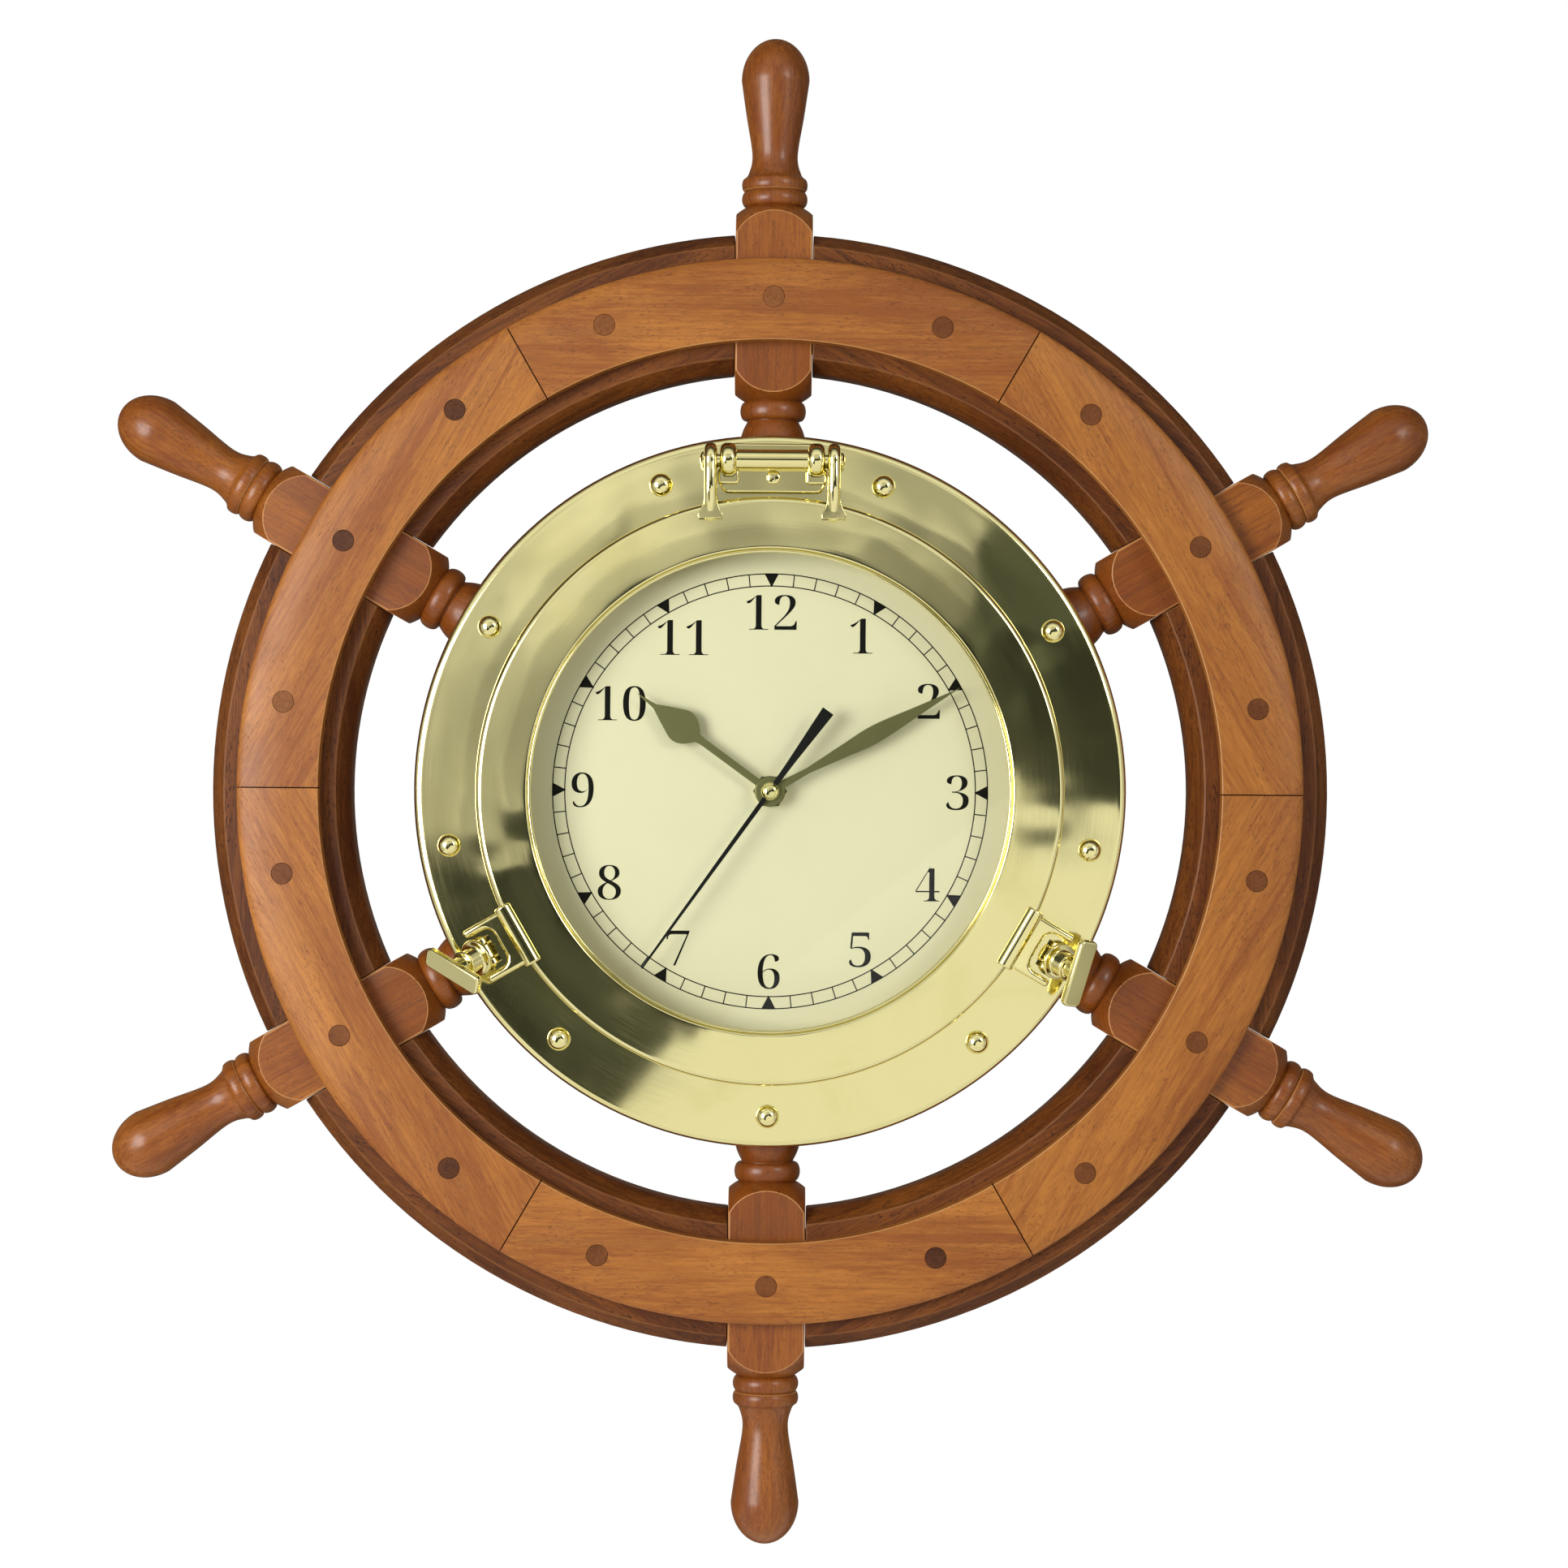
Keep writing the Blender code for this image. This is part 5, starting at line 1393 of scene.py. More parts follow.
@dataclass
class Hub(Assembly):
    """Wooden hub ring that the spokes are let into, with its back cover.

    Attributes:
        radius: Outer radius of the hub.
        front: Distance of its front from the wall.
        ledge: Distance of the dial's ledge from the wall.
        bores: Radii of its bore for the dial, its bore behind that and its seat for the cover.
        seat: Depth of the seat for the cover.
        mortise: Radius and length of the drill for a tenon.
        hanger: Width, height and depth of the hanger's seat.
        pocket: Width, height and depth of the pocket for the wall screw.
        hanger_corner: Rounding of the corners of both.
        hanger_at: Their distance above the clock's axis.
        wear: Width of the hub's eased edges, in the lighter finish of wear and painted highlight.
        cover: Radius and thickness of the back cover.
        cover_edge: Rounding of the cover's edges.
        cover_circle: Radius of the circle of screws in the cover.
    """

    radius: float = 134.0
    front: float = 40.3
    ledge: float = 31.7
    bores: Place = (105.3, 97.0, 106.3)
    seat: float = 3.3
    mortise: tuple[float, float] = (8.3, 34.6)
    hanger: Place = (40.6, 20.6, 2.3)
    pocket: Place = (10.4, 17.4, 10.3)
    hanger_corner: float = 2.0
    hanger_at: float = 120.0
    wear: float = 0.6
    cover: tuple[float, float] = (106.0, 3.0)
    cover_edge: float = 0.4
    cover_circle: float = 101.5

    def build(self) -> None:
        """Builds and dresses the hub and its cover."""
        self.build_ring()
        self.build_cover()

    def build_ring(self) -> None:
        """Turns the hub, bores it for the tenons and cuts the hanger's seat."""
        dial_bore, bore, cover_bore = self.bores
        front = [(dial_bore, self.front), (self.radius, self.front)]
        back = [(self.radius, 0), (cover_bore, 0), (cover_bore, self.seat)]
        inside = [(bore, self.seat), (bore, self.ledge), (dial_bore, self.ledge)]
        hub = Bench.lathe("hub_ring", [*front, *back, *inside], 128, ring=True)
        self.dress(hub, Finish.SPOKE, Finish.SPOKE_EDGE)
        # The eased edges take the lighter edge finish: rubbed wear and a painted highlight.
        Bench.ease(hub, self.wear, segments=2, angle=50, worn=True)
        inwards = shift(0, self.radius, SPOKE_AXIS) @ Matrix.Rotation(math.pi / 2, 4, "X")
        mortises = [
            Bench.rod(f"mortise_{number}", *self.mortise, clock_turn(60 * number) @ inwards)
            for number in range(6)
        ]
        Bench.combine(hub, Bench.join("mortises", mortises), "DIFFERENCE")
        middle = shift(0, self.hanger_at, 0)
        for name, (width, height, depth) in (("hanger_seat", self.hanger), ("hanger_pocket", self.pocket)):
            cutter = Bench.slab(name, rounded(width, height, self.hanger_corner), -depth, depth, middle)
            Bench.combine(hub, cutter, "DIFFERENCE")
        Bench.grain(hub, (0, 1, 2), (4.1, 0.3, 0.2))
        self.install(Bench.place(hub, FACE), "turned_spoke_wood", "hub")

    def build_cover(self) -> None:
        """Turns the back cover and screws it down."""
        radius, thick = self.cover
        cover = Bench.lathe("back_board", section(0, radius, 0, thick), 128)
        self.dress(cover, Finish.PLYWOOD)
        Bench.ease(cover, self.cover_edge)
        self.screw_down(cover)
        Bench.grain(cover, (0, 1, 2), (5.3, 0.1, 0.4))
        self.install(Bench.place(cover, FACE), "back_plywood", "back_cover")

    def screw_down(self, cover: Piece) -> None:
        """Sinks four cross-headed screws into the back cover.

        Args:
            cover: Back cover, still lying on its back.
        """
        first = Bench.lathe("sunk_screw", [(0, 0.15), (3.2, 0.15), (1.6, 1.75), (1.6, 2.9), (0, 2.9)], 28)
        self.cut_cross(first, rounded(3.8, 0.8, 0.15), low=-0.5, high=0.9, turn=0.4)
        self.dress(first, Finish.STEEL)
        for number in range(4):
            at = clock_turn(45 + 90 * number) @ shift(0, self.cover_circle, 0)
            sink = Bench.lathe("sink", [(0, -0.5), (4.0, -0.5), (1.75, 1.75), (1.75, 4.0), (0, 4.0)], 28)
            Bench.combine(cover, Bench.place(sink, at), "DIFFERENCE")
            screw = Bench.copy(first, f"cover_screw_{number + 1}")
            self.install(Bench.place(screw, FACE @ at @ clock_turn(25 * number)), "zinc_plated_steel")
        bpy.data.objects.remove(first)


@dataclass
class Porthole(Assembly):
    """Brass flange screwed to the hub, and the hinged port ring with its glass.

    Heights are distances from the wall.

    Attributes:
        flange_bore: Inner radius of the flange.
        flange_rim: Radius where the flange's rim starts to roll over, and its height there.
        flange_roll: Width and fall of the rolled rim.
        flange_layers: Heights of the flange's back and front.
        spigot: Outer radius and back of the sleeve behind the flange.
        ear: Radius of a swing bolt's ear, its reach towards the wall and its thickness.
        ear_gap: Half of the gap between two ears.
        screw_circle: Radius of the circle of screws.
        screw_head: Radius of a screw's head, and the height of its top.
        screw_shank: Radius of a screw's shank, and the height of its end.
        opening: Radius of the port's opening.
        ring_radius: Outer radius of the port ring.
        ring_shoulder: Radius where the ring's face starts to round over.
        ring_layers: Heights of the ring's back, of the shelf for the glass and of its forks' top.
        glass_radius: Radius of the glass.
        glass_gap: Gap round the glass.
        glass_layers: Heights of the glass's back and front.
        keeper: Width of the ring behind the glass, and the heights of its back and front.
        arm: Start of the right hinge arm from the middle, and its thickness.
        arm_round: Radius of an arm's eye.
        foot_layers: Heights of the underside and top of an arm's foot.
        fork_width: Width of a fork over its prongs.
        prong: Width of a prong.
        fork_thick: Thickness of a fork.
        fork_reach: Radii of a fork's root, the bottom of its notch and its tip.
        notch_corner: Rounding of the notch's corners.
        moulding_past: How far the moulded root stands out on each side of the fork.
    """

    flange_bore: float = 103.0
    flange_rim: tuple[float, float] = (139.0, 43.65)
    flange_roll: tuple[float, float] = (3.8, 2.35)
    flange_layers: tuple[float, float] = (40.6, 44.6)
    spigot: tuple[float, float] = (105.0, 33.3)
    ear: Place = (2.9, 5.6, 2.7)
    ear_gap: float = 3.2
    screw_circle: float = 130.25
    screw_head: tuple[float, float] = (4.65, 48.1)
    screw_shank: tuple[float, float] = (2.0, 34.3)
    opening: float = 95.4
    ring_radius: float = 117.7
    ring_shoulder: float = 115.0
    ring_layers: Place = (44.9, 49.5, 52.9)
    glass_radius: float = 99.4
    glass_gap: float = 0.3
    glass_layers: tuple[float, float] = (46.2, 49.2)
    keeper: Place = (3.2, 44.9, 45.9)
    arm: tuple[float, float] = (22.1, 5.0)
    arm_round: float = 6.6
    foot_layers: tuple[float, float] = (51.2, 54.8)
    fork_width: float = 23.4
    prong: float = 3.2
    fork_thick: float = 3.0
    fork_reach: Place = (113.7, 123.5, 134.5)
    notch_corner: float = 4.0
    moulding_past: float = 1.3

    def build(self) -> None:
        """Builds and dresses the flange, its screws, the port ring and the glass."""
        self.build_flange()
        self.build_screws()
        self.build_ring()
        self.build_arms()
        for side in Side:
            self.build_fork(side.value)
        self.build_glass()

    def build_flange(self) -> None:
        """Turns the crowned flange and sets the ears of the swing bolts on it."""
        (low, high), (rim, rim_height), (wide, fall) = self.flange_layers, self.flange_rim, self.flange_roll
        sleeve, sleeve_end = self.spigot
        crown = flowing([(117.0, high), (124.0, 44.5), (132.0, 44.15), (rim, rim_height)], 4)
        roll = arc((rim, rim_height - fall), wide, fall, 90, 0, 10)[1:]
        back = [(142.2, low), (sleeve, low), (sleeve, sleeve_end), (self.flange_bore, sleeve_end)]
        profile = [(self.flange_bore, high), *crown, *roll, *back]
        flange = Bench.lathe("turned_flange", profile, 192, ring=True)
        self.fit(flange, Finish.RING_BRASS, FACE, "polished_brass", "port_flange")
        radius, foot, thick = self.ear
        outline = [*arc((0, 0), radius, radius, 0, 180, 14), (-radius, -foot), (radius, -foot)]
        for side in Side:
            at = FACE @ clock_turn(side.value.angle) @ shift(0, BOLT_CIRCLE, BOLT_HEIGHT) @ ON_EDGE
            for name, start in (("inner", self.ear_gap), ("outer", -self.ear_gap - thick)):
                ear = Bench.slab(f"{side.value.label}_{name}_ear", outline, start, start + thick)
                self.fit(Bench.ease(ear, 0.45, segments=3, angle=40), Finish.BRASS, at, "polished_brass")

    def build_screws(self) -> None:
        """Turns one dome-headed screw and copies it round the flange."""
        (head, top), (shank, end) = self.screw_head, self.screw_shank
        dome = arc_through((0, top), (3.35, 47.0), (head, 45.0), 10)
        under = [(head, 43.6), (shank, 43.6), (shank, end), (0, end)]
        first = Bench.lathe("screw", [*dome, *under], 40)
        self.dress(first, Finish.BRASS)
        for number in range(9):
            screw = Bench.copy(first, f"dome_screw_{number + 1}")
            Bench.place(screw, FACE @ clock_turn(20 + 40 * number) @ shift(0, self.screw_circle, 0))
            self.install(screw, "polished_brass", f"flange_screw_{number + 1}")
        bpy.data.objects.remove(first)

    def build_ring(self) -> None:
        """Turns the port ring, with a small bead at its opening and a face that falls away outwards."""
        (back, shelf, _), edge, shoulder = self.ring_layers, self.ring_radius, self.ring_shoulder
        seat = self.glass_radius + self.glass_gap
        lip = [(96.9, 51.4), (97.1, 51.95), (97.5, 52.22), (98.1, 52.28)]
        slope = [(103.0, 52.2), (109.0, 52.0), (shoulder, 51.65)]
        profile = [
            *arc((96.15, 50.4), 0.75, 0.7, 180, 25, 7),
            *flowing([*lip, *slope], 5),
            *arc((shoulder, 49.05), edge - shoulder, 2.6, 90, 0, 10)[1:],
            (edge, back),
            (seat, back),
            (seat, shelf),
            (self.opening, shelf),
        ]
        ring = Bench.lathe("turned_port_ring", profile, 192, ring=True)
        self.fit(ring, Finish.RING_BRASS, FACE, "polished_brass", "port_bezel", body="port")

    def build_arms(self) -> None:
        """Builds the two arms that carry the port ring on the hinge pin, with their flared feet."""
        eye = arc((0, 0), self.arm_round, self.arm_round, -80, 92, 18)
        front = flowing([(-1.0, 6.52), (-6.0, 6.9), (-12.0, 6.7), (-18.0, 5.0), (-23.36, 2.16)], 4)
        toe = arc((-22.0, -0.4), 2.9, 2.9, 118, 240, 8)
        outline = [*eye, *front, *toe[1:], (-15.8, -5.2)]
        flare = flowing([(2.3, 119.5), (2.7, 115.6), (3.7, 112.4), (4.9, 110.2), (4.6, 108.6)], 4)
        at = FACE @ shift(0, *HINGE_AXIS) @ ON_EDGE
        inside, thick = self.arm
        for name, start in (("right", inside), ("left", -inside - thick)):
            arm = Bench.slab(f"{name}_hinge_arm", outline, start, start + thick)
            Bench.ease(arm, 2.3, segments=8, angle=40, clamp=False)
            middle = shift(start + thick / 2, 0, 0)
            pad = Bench.slab(f"{name}_arm_foot", mirrored(flare), *self.foot_layers, middle)
            Bench.ease(pad, 1.6, segments=6, angle=40)
            self.fit(arm, Finish.BRASS, at, "polished_brass", body="port")
            self.fit(pad, Finish.BRASS, FACE, "polished_brass", body="port")

    def build_fork(self, stand: BoltStand) -> None:
        """Builds the fork that a swing bolt drops into, with its moulded root.

        Args:
            stand: How the bolt stands.
        """
        (root, notch, tip), corner, top = self.fork_reach, self.notch_corner, self.ring_layers[2]
        half, low = self.fork_width / 2, top - self.fork_thick
        slot = half - self.prong
        outline = [
            (-half, root),
            (half, root),
            (half, tip),
            (slot, tip),
            *arc((slot - corner, notch + corner), corner, corner, 0, -90, 8),
            *arc((corner - slot, notch + corner), corner, corner, -90, -180, 8),
            (-slot, tip),
            (-half, tip),
        ]
        moulding = [(root - 1.6, low), (119.1, low), *arc((115.6, top - 1.0), 3.5, 2.6, 0, 180, 16)]
        fork = Bench.slab(f"{stand.label}_fork_prongs", outline, low, top)
        Bench.ease(fork, 1.4, segments=6, angle=40)
        wide = half + self.moulding_past
        strip = Bench.slab(f"{stand.label}_fork_moulding", moulding, -wide, wide, ON_EDGE)
        Bench.ease(strip, 0.8, segments=4, angle=40)
        for piece in (fork, strip):
            self.fit(piece, Finish.BRASS, FACE @ clock_turn(stand.angle), "polished_brass", body="port")

    def build_glass(self) -> None:
        """Builds the flat glass and the ring behind it."""
        edge = self.glass_radius
        glass = Bench.lathe("flat_glass", section(0, edge, *self.glass_layers), 128)
        self.fit(glass, Finish.GLASS, FACE, "port_glass", "port_glass", body="port")
        wide, *layers = self.keeper
        keeper = Bench.lathe("glass_keeper", section(edge - wide, edge, *layers), 128, ring=True)
        Bench.ease(keeper, 0.25, segments=2)
        self.fit(keeper, Finish.RING_BRASS, FACE, "polished_brass", "glass_ring", body="port")


@dataclass
class Hinge(Assembly):
    """Bracket with two knuckles and a barrel, its screw and the pin.

    Attributes:
        eye: Radius of the knuckles.
        foot: How far a knuckle runs from the pin's axis towards the wall.
        knuckle: Width of a knuckle.
        width: Width of the bracket over its knuckles.
        barrel: Radius of the barrel between the knuckles, and how much shorter than the bracket it is.
        plate: Height of the bracket's plate up the dial, and of its middle.
        plate_corner: Rounding of the plate's corners.
        plate_layers: Distances of the plate's back and front from the wall.
        step: Width and height of the step at the foot of a knuckle.
        step_corner: Rounding of the step's corners.
        step_at: Height of the step up the dial.
        step_layers: Distances of the step's back and front from the wall.
        screw: Radius of the bracket's screw, and the rise of its head.
        screw_at: Place of the screw on the dial's face.
        screw_layers: Distances of the screw's end and the foot of its head from the wall.
    """

    eye: float = 6.6
    foot: float = 5.4
    knuckle: float = 6.7
    width: float = 41.8
    barrel: tuple[float, float] = (4.0, 6.0)
    plate: tuple[float, float] = (19.8, 129.2)
    plate_corner: float = 3.5
    plate_layers: tuple[float, float] = (43.3, 46.9)
    step: tuple[float, float] = (8.4, 6.4)
    step_corner: float = 1.6
    step_at: float = 125.9
    step_layers: tuple[float, float] = (45.5, 48.7)
    screw: tuple[float, float] = (2.8, 0.8)
    screw_at: tuple[float, float] = (0.4, 125.6)
    screw_layers: tuple[float, float] = (45.0, 46.9)

    def build(self) -> None:
        """Builds and dresses the hinge."""
        across = shift(0, *HINGE_AXIS) @ SIDEWAYS
        self.build_bracket(across)
        self.build_pin(across)
        self.build_screw()

    def build_bracket(self, across: Matrix) -> None:
        """Joins the plate, the knuckles with their steps and the barrel.

        Args:
            across: Move that lays a rod along the pin's axis.
        """
        half, eye, (height, middle) = self.width / 2, self.eye, self.plate
        plate = rounded(self.width, height, self.plate_corner, (0, middle))
        bracket = Bench.slab("jointed_bracket", plate, *self.plate_layers)
        Bench.ease(bracket, 0.9, segments=4, angle=40)
        at = shift(0, *HINGE_AXIS) @ ON_EDGE
        upright = [*arc((0, 0), eye, eye, 0, 180, 18), (-eye, -self.foot), (eye, -self.foot)]
        for name, start in (("right", half - self.knuckle), ("left", -half)):
            knuckle = Bench.slab(f"{name}_knuckle", upright, start, start + self.knuckle)
            Bench.ease(knuckle, 2.6, segments=7, angle=40)
            Bench.combine(bracket, Bench.place(knuckle, at), "UNION")
            outline = rounded(*self.step, self.step_corner, (start + self.knuckle / 2, self.step_at))
            step = Bench.slab(f"{name}_step", outline, *self.step_layers)
            Bench.combine(bracket, Bench.ease(step, 0.9, segments=4, angle=40), "UNION")
        radius, short = self.barrel
        Bench.combine(bracket, Bench.rod("barrel", radius, self.width - short, across, 40), "UNION")
        self.fit(bracket, Finish.BRASS, FACE, "polished_brass", "hinge_bracket")

    def build_pin(self, across: Matrix) -> None:
        """Turns the pin with its two domed heads.

        Args:
            across: Move that lays a rod along the pin's axis.
        """
        head = [(0, 29.0), (1.4, 28.9), (2.4, 28.5), (3.0, 27.9), (3.0, 27.4), (2.0, 27.4)]
        pin = Bench.lathe("domed_hinge_pin", [*head, *[(r, -h) for r, h in reversed(head)]], 32)
        self.fit(pin, Finish.BRASS, FACE @ across, "polished_brass", "hinge_pin")

    def build_screw(self) -> None:
        """Turns the small cross-headed screw of the bracket."""
        (radius, rise), (end, foot) = self.screw, self.screw_layers
        dome = arc((0, foot), radius, rise, 90, 0, 8)
        screw = Bench.lathe("bracket_screw", [*dome, (radius, end), (0, end)], 32)
        self.cut_cross(screw, rounded(3.4, 0.6, 0.1), low=47.3, high=49.0, turn=0.6)
        self.fit(screw, Finish.BRASS, FACE @ shift(*self.screw_at, 0), "polished_brass")


@dataclass
class SwingBolt(Assembly):
    """An eye bolt that swings in the flange's ears, and the bar-handled nut on it.

    Heights are distances along the bolt from its pivot.

    Attributes:
        stand: How the bolt stands on the flange.
        bolt: Radius and length of the bolt.
        eye: Radius and width of its eye.
        eye_hole: Radius and length of the drill for the pivot pin.
        bore: Radius and end of the nut's bore.
        bar: Length, width and thickness of the thumb bar.
        bar_corner: Rounding of the bar's corners.
        seat: Height of the bar's underside.
    """

    stand: BoltStand = Side.RIGHT.value
    bolt: tuple[float, float] = (2.6, 16.0)
    eye: tuple[float, float] = (2.9, 5.8)
    eye_hole: tuple[float, float] = (1.55, 12.0)
    bore: tuple[float, float] = (2.9, 16.3)
    bar: Place = (27.5, 8.5, 3.0)
    bar_corner: float = 2.4
    seat: float = 18.6

    def build(self) -> None:
        """Builds and dresses the bolt and its nut."""
        tilt = Matrix.Rotation(-math.radians(self.stand.lean), 4, "X")
        at = FACE @ clock_turn(self.stand.angle) @ shift(0, BOLT_CIRCLE, BOLT_HEIGHT) @ tilt
        self.build_bolt(at)
        self.build_nut(at @ Matrix.Rotation(math.radians(self.stand.bar_turn), 4, "Z"))

    def build_bolt(self, at: Matrix) -> None:
        """Turns the bolt, with its eye.

        Args:
            at: Move from the bench to the bolt's place.
        """
        label, (radius, length) = self.stand.label, self.bolt
        bolt = Bench.lathe(f"{label}_eye_bolt", section(0, radius, 0, length), 32)
        eye = Bench.ease(Bench.rod("eye", *self.eye, SIDEWAYS), 0.4, segments=3)
        Bench.combine(bolt, eye, "UNION")
        Bench.combine(bolt, Bench.rod("eye_hole", *self.eye_hole, SIDEWAYS), "DIFFERENCE")
        self.fit(bolt, Finish.BRASS, at, "polished_brass", f"{label}_swing_bolt", body=f"{label}_bolt")

    def build_nut(self, at: Matrix) -> None:
        """Turns the nut and joins the bar to its top.

        Args:
            at: Move from the bench to the nut's place.
        """
        label, (bore, bore_end), (long, wide, thick) = self.stand.label, self.bore, self.bar
        profile = [
            *[(0, 20.1), (4.0, 20.1), (4.0, 14.9)],
            *arc((4.5, 13.65), 1.1, 0.8, 90, -90, 8),
            *[(4.7, 12.4), (4.8, 8.0)],
            *flowing([(4.8, 8.0), (5.3, 7.2), (6.8, 7.0)], 3),
            *arc((6.9, 6.4), 0.6, 0.6, 90, 0, 5),
            *[(7.5, 5.6), (bore, 5.6), (bore, bore_end), (0, bore_end)],
        ]
        nut = Bench.lathe(f"{label}_bar_nut", profile, 40)
        grip = Bench.slab("grip", rounded(long, wide, self.bar_corner), self.seat, self.seat + thick)
        Bench.combine(nut, Bench.ease(grip, 0.8, segments=4, angle=40), "UNION")
        self.fit(nut, Finish.BRASS, at, "polished_brass", f"{label}_thumb_nut", body=f"{label}_nut")


@dataclass
class Dial(Assembly):
    """Cream dial with its printed track and numerals.

    Attributes:
        radius: Radius of the dial.
        hole: Radius of its hole for the movement's bush.
        layers: Distances of its back and front from the wall.
        track: Radii of the track's two circles.
        line: Width of the printed lines.
        wedge: Half width of an hour wedge, and how far its point passes the inner circle.
        ink: Thickness of the print.
        numeral_height: Height of the hour numbers.
        weight: Thinning of the font's strokes, in its own units.
        first_digit: Code of the font's bold nought.
        numeral_radii: Distances of the hour numbers from the centre, clockwise from 12.
    """

    radius: float = 105.0
    hole: float = 4.3
    layers: tuple[float, float] = (32.0, 33.0)
    track: tuple[float, float] = (82.8, 87.7)
    line: float = 0.45
    wedge: tuple[float, float] = (2.85, 0.5)
    ink: float = 0.05
    numeral_height: float = 14.07
    weight: float = -0.019
    first_digit: int = 0x1D7CE
    numeral_radii: tuple[float, ...] = (
        *(72.2, 72.6, 73.6, 75.6, 73.7, 73.5),
        *(72.7, 73.3, 74.5, 75.6, 70.0, 71.3),
    )

    def build(self) -> None:
        """Builds and dresses the dial and its print."""
        plate = Bench.lathe("painted_dial", section(self.hole, self.radius, *self.layers), 160, ring=True)
        self.fit(plate, Finish.DIAL, FACE, "cream_dial", "dial")
        self.print_track()
        for number in range(12):
            self.print_numeral(number or 12, 30.0 * number, self.numeral_radii[number])

    def print_track(self) -> None:
        """Prints the two circles, the minute lines and the hour wedges."""
        (inner, outer), (wide, past), half = self.track, self.wedge, self.line / 2
        low = self.layers[1]
        high = low + self.ink
        marks = []
        for name, radius in (("inner", inner), ("outer", outer)):
            line = section(radius - half, radius + half, low, high)
            marks.append(Bench.lathe(f"{name}_circle", line, 240, ring=True))
        line = [(-half, inner), (half, inner), (half, outer), (-half, outer)]
        minute = Bench.slab("minute_line", line, low, high)
        wedge = Bench.slab("hour_wedge", [(-wide, outer), (0, inner - past), (wide, outer)], low, high)
        for number in range(60):
            mark = Bench.copy(minute if number % 5 else wedge, f"track_mark_{number}")
            marks.append(Bench.place(mark, clock_turn(6 * number)))
        for spare in (minute, wedge):
            bpy.data.objects.remove(spare)
        self.fit(Bench.join("minute_track", marks), Finish.INK, FACE, "cream_dial")

    def print_numeral(self, number: int, angle: float, radius: float) -> None:
        """Prints one upright hour number.

        Args:
            number: The hour.
            angle: Its clock angle.
            radius: Distance of its middle from the centre.
        """
        Bench.clear()
        bpy.ops.object.text_add()
        text = bpy.context.active_object
        text.name = f"hour_number_{number}"
        text.data.body = "".join(chr(self.first_digit + int(digit)) for digit in str(number))
        text.data.size = 1.0
        text.data.offset = self.weight
        text.data.extrude = 0.001
        text.data.resolution_u = 8
        bpy.ops.object.convert(target="MESH")
        numeral = Bench.close(bpy.context.active_object, 30)
        points = [vertex.co for vertex in numeral.data.vertices]
        low, high = (Vector(edge(point[i] for point in points) for i in range(3)) for edge in (min, max))
        scale = Matrix.Scale(self.numeral_height * MM / (high.y - low.y), 4)
        way = math.radians(angle)
        centre = shift(radius * math.sin(way), radius * math.cos(way), self.layers[1] + self.ink / 2)
        middle = Matrix.Translation(-(low + high) / 2)
        self.fit(numeral, Finish.INK, FACE @ centre @ scale @ middle, "cream_dial")


